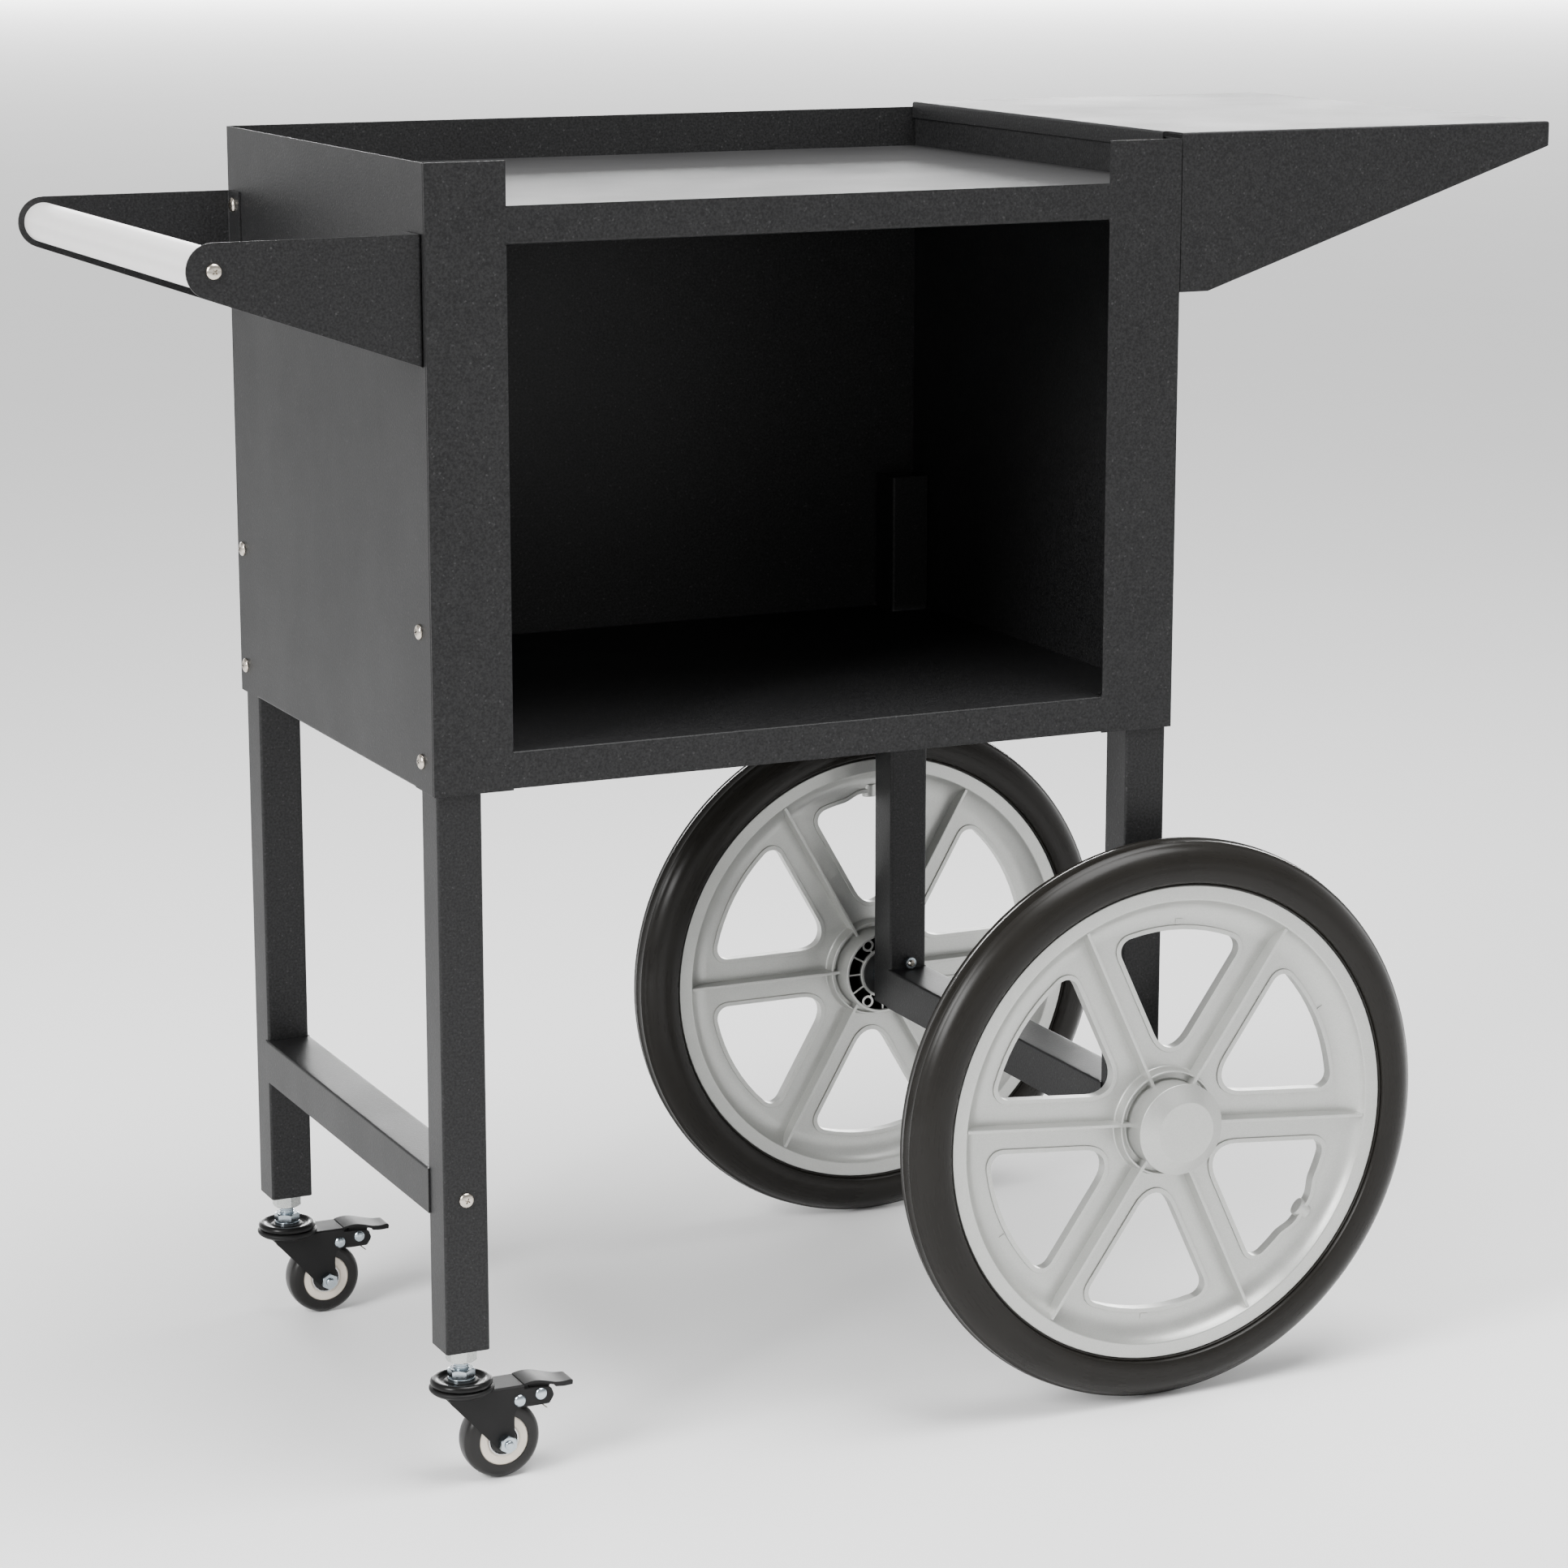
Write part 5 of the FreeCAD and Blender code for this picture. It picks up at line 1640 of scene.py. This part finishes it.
# ---------------------------------------------------------------- the casters
@dataclass
class Caster:
    """A braked swivel caster on its threaded stem. Lengths count from the stem's axis and the floor."""

    shop: Shop
    end: End
    trail: float = 24.0
    axle_height: float = 25.0
    cheek: tuple[float, float] = (10.2, 12.2)
    pivot: tuple[float, float] = (47.5, 53.0)
    short_rivet: tuple[float, float] = (33.5, 50.6)

    def __post_init__(self) -> None:
        """Finds the stem and the axle from the frame."""
        nut = extent(f"{self.end.word}_left_leg").middle
        self.stem = Vector((nut.x, nut.y, 0))
        self.axle = self.stem + Vector((self.trail, 0, self.axle_height)) * MM
        self.word = self.end.word

    def _at(self, x: float, y: float, z: float) -> Vector:
        """A point given in millimetres from the foot of the stem's axis."""
        return self.stem + Vector((x, y, z)) * MM

    def _give(self, piece: Object, part: str, material: Material, slot: str, *nodes: str,
              angle: float = 32.0) -> Object:
        """Delivers a piece to one of the caster's bodies, or to the cart."""
        body = "cart" if part == "cart" else f"{self.word}_{part}"
        return self.shop.deliver(piece, body, material, slot, *nodes, angle=angle)

    def _hexagon(self, name: str, axis: str, start: Vector, height: float, flats: float) -> Object:
        """A hexagon with chamfered corners.

        Args:
            name: its name.
            axis: "y" or "z".
            start: the middle of its lower end.
            height: its height, in millimetres.
            flats: its width across flats, in millimetres.

        Returns:
            The hexagon.
        """
        corner = flats / math.sqrt(3)
        piece = Bench.rod(name, axis, start, height * MM, corner * MM, 6)
        brim = flats / 2 * 0.96
        drop = (corner - brim) * 0.6
        profile = [(0, 0), (brim, 0), (corner, drop), (corner, height - drop), (brim, height), (0, height)]
        turned = Bench.turned("chamfer", axis, start, profile, 64)
        return Bench.join_shapes(piece, [turned], "INTERSECT", "EXACT")

    def stem_parts(self) -> None:
        """The threaded stem with its hex collar, and the lock nut under the leg."""
        thread: list[tuple[float, ...]] = [(0, 55.4), (7.2, 55.4), (7.2, 57.8), (5, 57.8), (5, 65.9),
                                           (8.4, 65.9), (8.4, 67.8, 0.4), (5, 67.8)]
        height = 73.0
        while height < 100.0:
            thread += [(4.35, height), (4.95, height + 0.45), (4.95, height + 0.8), (4.35, height + 1.25)]
            height += 1.5
        thread += [(4.3, 101.3), (0, 101.3)]
        stem = Bench.turned(f"{self.word}_caster_thread", "z", self.stem, thread, 40)
        self._give(stem, "cart", self.shop.finishes.zinc, "zinc", "caster_stems")
        collar = self._hexagon(f"{self.word}_caster_collar", "z", self._at(0, 0, 67.6), 5.8, 15.0)
        Bench.soften(collar, 0.15 * MM)
        self._give(collar, "cart", self.shop.finishes.zinc, "zinc", "caster_stems", angle=20)
        foot = extent(f"{self.word}_left_leg").low.z / MM
        nut = self._hexagon(f"{self.word}_caster_nut", "z", self._at(0, 0, foot - 9), 9.0, 17.0)
        bore = Bench.rod("bore", "z", self._at(0, 0, foot - 11), 13 * MM, 5.0 * MM)
        Bench.join_shapes(nut, [bore], "DIFFERENCE", "EXACT")
        self._give(nut, "cart", self.shop.finishes.pale_zinc, "zinc", "caster_lock_nuts", angle=20)

    def races(self) -> None:
        """The dished upper race with its rolled rim."""
        profile = [(5.0, 64.3), (14.4, 64.3, 0.4), (14.8, 63.0, 0.4), (17.2, 62.6, 1.2),
                   (19.4, 63.3, 1.6), (19.4, 66.0, 1.6), (17.4, 67.3, 1.6), (15.0, 66.9, 1.2),
                   (13.4, 65.5, 0.8), (11.0, 65.3, 0.5), (9.8, 66.0, 0.4), (5.0, 66.1)]
        race = Bench.turned(f"{self.word}_upper_race", "z", self.stem, profile, 80)
        self._give(race, "cart", self.shop.finishes.gloss, "black_gloss", "caster_upper_races", angle=40)

    def fork(self) -> Object:
        """The pressed fork: cover, cheeks with an arm for the pedal, and the lower race."""
        inner, outer = self.cheek
        cheek = [(-12.6, 59.0), (-12.0, 55.2, 2.0), (-7.0, 50.4, 3.0), (18.4, 21.6, 2.0),
                 (21.2, 18.8, 2.4), (27.0, 18.8, 3.2), (30.2, 23.4, 2.0), (29.6, 37.5, 3.0),
                 (30.4, 44.0, 2.0), (34.4, 46.2, 2.0), (41.0, 45.8, 1.0), (53.0, 46.0, 0.8),
                 (56.2, 51.0, 1.4), (54.4, 56.2, 1.0), (45.0, 57.2, 2.0), (36.0, 57.4, 1.0),
                 (35.6, 59.2)]
        piece = Bench.block(f"{self.word}_fork", self._at(-13, -outer, 57.2), self._at(36.6, outer, 60.0))
        Bench.round_off(piece, lambda s: level(s.middle.z, self.stem.z + 60 * MM)
                        and level(s.middle.y, s.ends[0].y), 1.9 * MM, 4)
        shapes = []
        for y in (-outer, inner):
            shapes.append(Bench.outline("cheek", cheek, self._at(0, y, 0), (outer - inner) * MM, segments=4))
        shapes.append(Bench.turned("lower_race", "z", self.stem, [
            (0, 56.6), (13.5, 56.6, 1.0), (18.8, 58.6, 1.6), (20.2, 60.2, 0.9), (20.2, 61.6, 0.8),
            (19.0, 62.4, 0.6), (15.8, 62.4, 0.4), (15.2, 61.1), (0, 61.1)], 80))
        Bench.join_shapes(piece, shapes, "UNION", "EXACT")
        hollow = Bench.block("inside", self._at(-20, -inner, 10), self._at(60, inner, 57.0))
        bores = [Bench.rod("bore", "z", self._at(0, 0, 50), 20 * MM, 7.6 * MM)]
        for (x, z), radius in (((self.trail, self.axle_height), 3.0), (self.pivot, 2.0)):
            bores.append(Bench.rod("bore", "y", self._at(x, -20, z), 40 * MM, radius * MM))
        Bench.join_shapes(piece, [hollow, *bores], "DIFFERENCE", "EXACT")
        Bench.soften(piece, 0.3 * MM, 45)
        finish = self.shop.finishes.dipped
        return self._give(piece, "caster", finish, "black_gloss", f"{self.word}_caster_fork")

    def _pedal_trims(self) -> list[Object]:
        """What is cut off the two sides of the pedal so that it narrows to its tip."""
        trims = []
        for side in (-1, 1):
            corners = [(57.0, side * 10.7), (72.5, side * 10.7), (72.5, side * 6.4, 1.5),
                       (64.6, side * 8.7, 2.0)]
            trims.append(Bench.outline("trim", corners, self._at(0, 0, 50), 14 * MM, False, 4))
        return trims

    def pedal(self) -> Object:
        """The brake pedal: a wavy tread that narrows to a rolled tip, on two cheeks."""
        top = [(36.9, 60.3, 0.5), (41.0, 61.3, 2.0), (46.0, 61.5, 2.0), (52.0, 60.3, 3.0), (58.0, 58.4, 3.0),
               (64.0, 57.4, 2.0), (70.2, 57.6, 1.2), (71.0, 56.4, 0.6), (70.8, 53.8, 0.6), (69.4, 53.8, 0.5),
               (69.2, 55.6, 0.8), (64.0, 55.7, 1.5), (57.6, 56.7, 2.0), (51.4, 58.5, 2.0), (46.0, 59.6, 1.0),
               (41.0, 59.5, 1.0), (36.9, 58.9, 0.4)]
        piece = Bench.outline(f"{self.word}_pedal", top, self._at(0, -10.6, 0), 21.2 * MM, segments=3)
        lip = [(57.4, 58.4), (64.0, 57.2, 2.0), (70.4, 57.0), (70.4, 53.8, 1.0), (64.0, 54.2, 2.0),
               (57.4, 55.6, 1.0)]
        lips = Bench.outline("lips", lip, self._at(0, -10.6, 0), 21.2 * MM, segments=3)
        inside = [(50, -9.0), (57.0, -9.0), (64.4, -7.1), (69.3, -5.2), (69.3, 5.2), (64.4, 7.1),
                  (57.0, 9.0), (50, 9.0)]
        core = Bench.outline("inside", inside, self._at(0, 0, 50), 14 * MM, False, 4)
        Bench.join_shapes(lips, [*self._pedal_trims(), core], "DIFFERENCE", "EXACT")
        Bench.join_shapes(piece, self._pedal_trims(), "DIFFERENCE", "EXACT")
        cheek = [(41, 60.2), (41, 52, 1.0), (44.5, 48.0, 1.0), (51.5, 48.4, 1.0), (55, 58.4)]
        adds = [Bench.outline("cheek", cheek, self._at(0, y, 0), 1.6 * MM, segments=3) for y in (-9.2, 7.6)]
        Bench.join_shapes(piece, [*adds, lips], "UNION", "EXACT")
        bore = Bench.rod("bore", "y", self._at(self.pivot[0], -20, self.pivot[1]), 40 * MM, 2.05 * MM)
        Bench.join_shapes(piece, [bore], "DIFFERENCE", "EXACT")
        Bench.soften(piece, 0.3 * MM, 45)
        finish = self.shop.finishes.dipped
        return self._give(piece, "brake", finish, "black_gloss", f"{self.word}_brake_pedal")

    def hardware(self) -> None:
        """Rivets, the spring's tip, the axle bolt and its nut."""
        outer = self.cheek[1]
        node = f"{self.word}_caster_rivets"
        for place, ((x, z), inner) in enumerate(((self.pivot, 0.0), (self.short_rivet, outer - 2))):
            for side in (-1, 1):
                profile = [(0, inner), (1.95, inner), (1.95, outer), (3.9, outer), (3.9, outer + 0.5, 0.2),
                           (3.4, outer + 1.3, 0.8), (2.0, outer + 2.1, 0.8), (0, outer + 2.35)]
                rivet = Bench.turned(f"{self.word}_rivet_{place + 1}_{'near' if side < 0 else 'far'}", "y",
                                     self._at(x, 0, z), profile, 36, side)
                self._give(rivet, "caster", self.shop.finishes.zinc, "zinc", node)
        leaf = [(36.0, 53.0), (38.0, 52.9, 1.0), (46.4, 48.3, 1.5), (56.4, 38.6), (55.4, 38.6),
                (45.4, 47.6, 1.5), (37.2, 52.2, 1.0), (36.0, 52.2)]
        spring = Bench.outline(f"{self.word}_spring_leaf", leaf, self._at(0, -3, 0), 6 * MM, segments=3)
        Bench.pick(spring, Kind.CORNER, lambda s: s.middle.z < self.stem.z + 40.5 * MM)
        bpy.ops.transform.resize(value=(1, 0.3, 1))
        Bench.clear()
        bar = Bench.rod("bar", "y", self._at(35.9, -10.1, 52.4), 20.2 * MM, 1.1 * MM, 24)
        Bench.join_shapes(spring, [bar], "UNION", "EXACT")
        Bench.soften(spring, 0.1 * MM)
        self._give(spring, "caster", self.shop.finishes.spring, "bright_steel", f"{self.word}_brake_spring")
        bolt = Bench.turned(f"{self.word}_axle_bolt", "y", self.axle, [
            (0, -outer - 7.5), (1.7, -outer - 7.5, 0.5), (2.9, -outer - 6.6, 0.5), (2.9, outer),
            (0, outer)], 36)
        self._give(bolt, "caster", self.shop.finishes.zinc, "zinc", f"{self.word}_caster_bolt")
        seat = self.axle + Vector((0, outer, 0)) * MM
        head = self._hexagon(f"{self.word}_axle_bolt_head", "y", seat, 4.0, 10.0)
        self._give(head, "caster", self.shop.finishes.zinc, "zinc", f"{self.word}_caster_bolt", angle=20)
        seat = self.axle - Vector((0, outer + 5.5, 0)) * MM
        nut = self._hexagon(f"{self.word}_axle_bolt_nut", "y", seat, 5.5, 10.0)
        bore = Bench.rod("bore", "y", self.axle - Vector((0, outer + 7, 0)) * MM, 9 * MM, 2.92 * MM)
        Bench.join_shapes(nut, [bore], "DIFFERENCE", "EXACT")
        self._give(nut, "caster", self.shop.finishes.zinc, "zinc", f"{self.word}_caster_bolt_nut", angle=20)

    def wheel(self) -> None:
        """The caster wheel: tread, cream hub and sealed bearings."""
        tread = Bench.turned(f"{self.word}_tread", "y", self.axle, [
            (16, -8.9), (17.2, -9.0, 0.4), (20.6, -9.0, 1.8), (24.0, -7.0, 2.4), (25.0, -3.4, 2.4),
            (25.0, 3.4, 2.4), (24.0, 7.0, 2.4), (20.6, 9.0, 1.8), (17.2, 9.0, 0.4), (16, 8.9)], 80)
        self._give(tread, "caster_wheel", self.shop.finishes.tread, "caster_rubber",
                   f"{self.word}_caster_tread", angle=45)
        hub = Bench.turned(f"{self.word}_cream_hub", "y", self.axle, [
            (10, -7.9), (10.9, -8.6, 0.3), (15.3, -8.6, 0.5), (16, -8.0), (16, 8.0), (15.3, 8.6, 0.5),
            (10.9, 8.6, 0.3), (10, 7.9)], 64)
        self._give(hub, "caster_wheel", self.shop.finishes.cream, "cream_plastic", f"{self.word}_caster_hub")
        node = f"{self.word}_caster_bearings"
        for side in (-1, 1):
            word = "near" if side < 0 else "far"
            ring = Bench.turned(f"{self.word}_bearing_{word}", "y", self.axle, [
                (3.05, 2.4), (9.98, 2.4), (9.98, 8.3, 0.3), (9.0, 8.3, 0.3), (8.7, 7.2), (4.9, 7.2),
                (4.6, 8.4, 0.2), (3.05, 8.4)], 56, side)
            self._give(ring, "caster_wheel", self.shop.finishes.steel, "bright_steel", node)
            seal = Bench.turned(f"{self.word}_bearing_seal_{word}", "y", self.axle, [
                (4.95, 7.1), (8.65, 7.1), (8.65, 7.9, 0.3), (4.95, 7.9, 0.3)], 56, side)
            self._give(seal, "caster_wheel", self.shop.finishes.nylon, "black_nylon", node)

    def build(self) -> None:
        """Makes every piece of the caster."""
        self.stem_parts()
        self.races()
        self.fork()
        self.pedal()
        self.hardware()
        self.wheel()
        self.shop.dress(self.shop.finishes.steel, f"{self.word}_swivel_balls")


# ---------------------------------------------------------------- the studio
class Lamp(NamedTuple):
    """One soft rectangular light: its place, its aim, its width and height, and its power in watts."""

    place: Triple
    target: Triple
    size: tuple[float, float]
    power: float


LAMPS = {
    "key_left": Lamp((-2.9, -1.1, 2.1), (0, 0, 0.5), (1.2, 1.6), 150),
    "top_soft": Lamp((0.5, -0.6, 3.2), (0.1, 0, 0), (2.1, 1.7), 170),
    "back_soft": Lamp((12.6, 27.2, 3.6), (0, 0, 0.7), (26.0, 5.4), 9500),
}


@dataclass
class Studio:
    """A pale floor, soft light and the camera."""

    floor_size: float = 60.0
    floor_mottle: float = 0.4
    floor_tones: tuple[Triple, Triple] = ((0.93, 0.93, 0.93), (0.96, 0.96, 0.96))
    floor_roughness: float = 0.9
    lens: float = 97.85
    eye: Triple = (-1.1643, -2.498, 0.985)
    heading: float = -24.93
    dip: float = 12.41
    sky: Triple = (1.0, 1.0, 1.0)
    horizon_strength: float = 1.7
    zenith_strength: float = 0.55
    rise: tuple[float, float] = (0.10, 0.34)

    def floor(self) -> None:
        """A plain pale floor with a faint mottle."""
        mix = Mixer("studio_floor")
        tone = mix.blend(mix.noise(self.floor_mottle, 2.0), *self.floor_tones)
        material = mix.surface(Base_Color=tone, Roughness=self.floor_roughness)
        half = self.floor_size / 2
        floor = Bench.sheet("studio_floor", Facing.UP, (-half, -half, 0), (half, half, 0))
        Bench.clear()
        floor.data.materials.append(material)

    def hang(self, name: str, lamp: Lamp) -> None:
        """Puts up one light.

        Args:
            name: its name.
            lamp: its place, aim, size and power.
        """
        Bench.clear()
        bpy.ops.object.light_add(type="AREA", location=lamp.place)
        light = bpy.context.object
        light.name = name
        way = Vector(lamp.target) - Vector(lamp.place)
        light.rotation_euler = way.to_track_quat("-Z", "Y").to_euler()
        light.data.shape = "RECTANGLE"
        light.data.size, light.data.size_y = lamp.size
        light.data.energy = lamp.power

    def world(self) -> None:
        """White light from all round, brightest along the horizon."""
        world = bpy.data.worlds.new("studio_world")
        world.use_nodes = True
        tree = world.node_tree
        background = tree.nodes["Background"]
        background.inputs["Color"].default_value = (*self.sky, 1.0)
        kinds = ("TexCoord", "SeparateXYZ", "MapRange")
        place, split, fade = (tree.nodes.new(f"ShaderNode{kind}") for kind in kinds)
        tree.links.new(place.outputs["Generated"], split.inputs[0])
        tree.links.new(split.outputs["Z"], fade.inputs[0])
        for socket, value in enumerate((*self.rise, self.horizon_strength, self.zenith_strength), start=1):
            fade.inputs[socket].default_value = value
        tree.links.new(fade.outputs[0], background.inputs["Strength"])
        bpy.context.scene.world = world

    def camera(self) -> None:
        """The camera, level and with no shift."""
        turn = (math.radians(90 - self.dip), 0, math.radians(self.heading))
        bpy.ops.object.camera_add(location=self.eye, rotation=turn)
        camera = bpy.context.object
        camera.data.lens = self.lens
        camera.data.sensor_width = 36.0
        camera.data.clip_end = 200.0
        bpy.context.scene.camera = camera

    def build(self) -> None:
        """Sets up the studio."""
        self.floor()
        self.world()
        for name, lamp in LAMPS.items():
            self.hang(name, lamp)
        self.camera()


def main() -> None:
    """Builds the cart, dresses the nodes that keep their shape, and sets up the studio."""
    logging.basicConfig(level=logging.INFO, format="%(name)s: %(message)s")
    shop = Shop(Finishes.mixed())
    finishes = shop.finishes
    Cabinet(shop).build()
    Underframe(shop).build()
    SideShelf(shop).build()
    PushHandle(shop).build()
    Fasteners(shop).build()
    for end in End:
        BigWheel(shop, end).build()
        Caster(shop, end).build()
    shop.dress(finishes.nylon, "handle_end_plugs")
    shop.dress(finishes.powder, "leg_foot_plates")
    shop.dress(finishes.zinc, "frame_nuts", "crossbar_nuts", "axle_collars", "axle_washers", "axle_lock_nuts")
    shop.dress(finishes.steel, "axle")
    Studio().build()


if __name__ == "__main__":
    main()
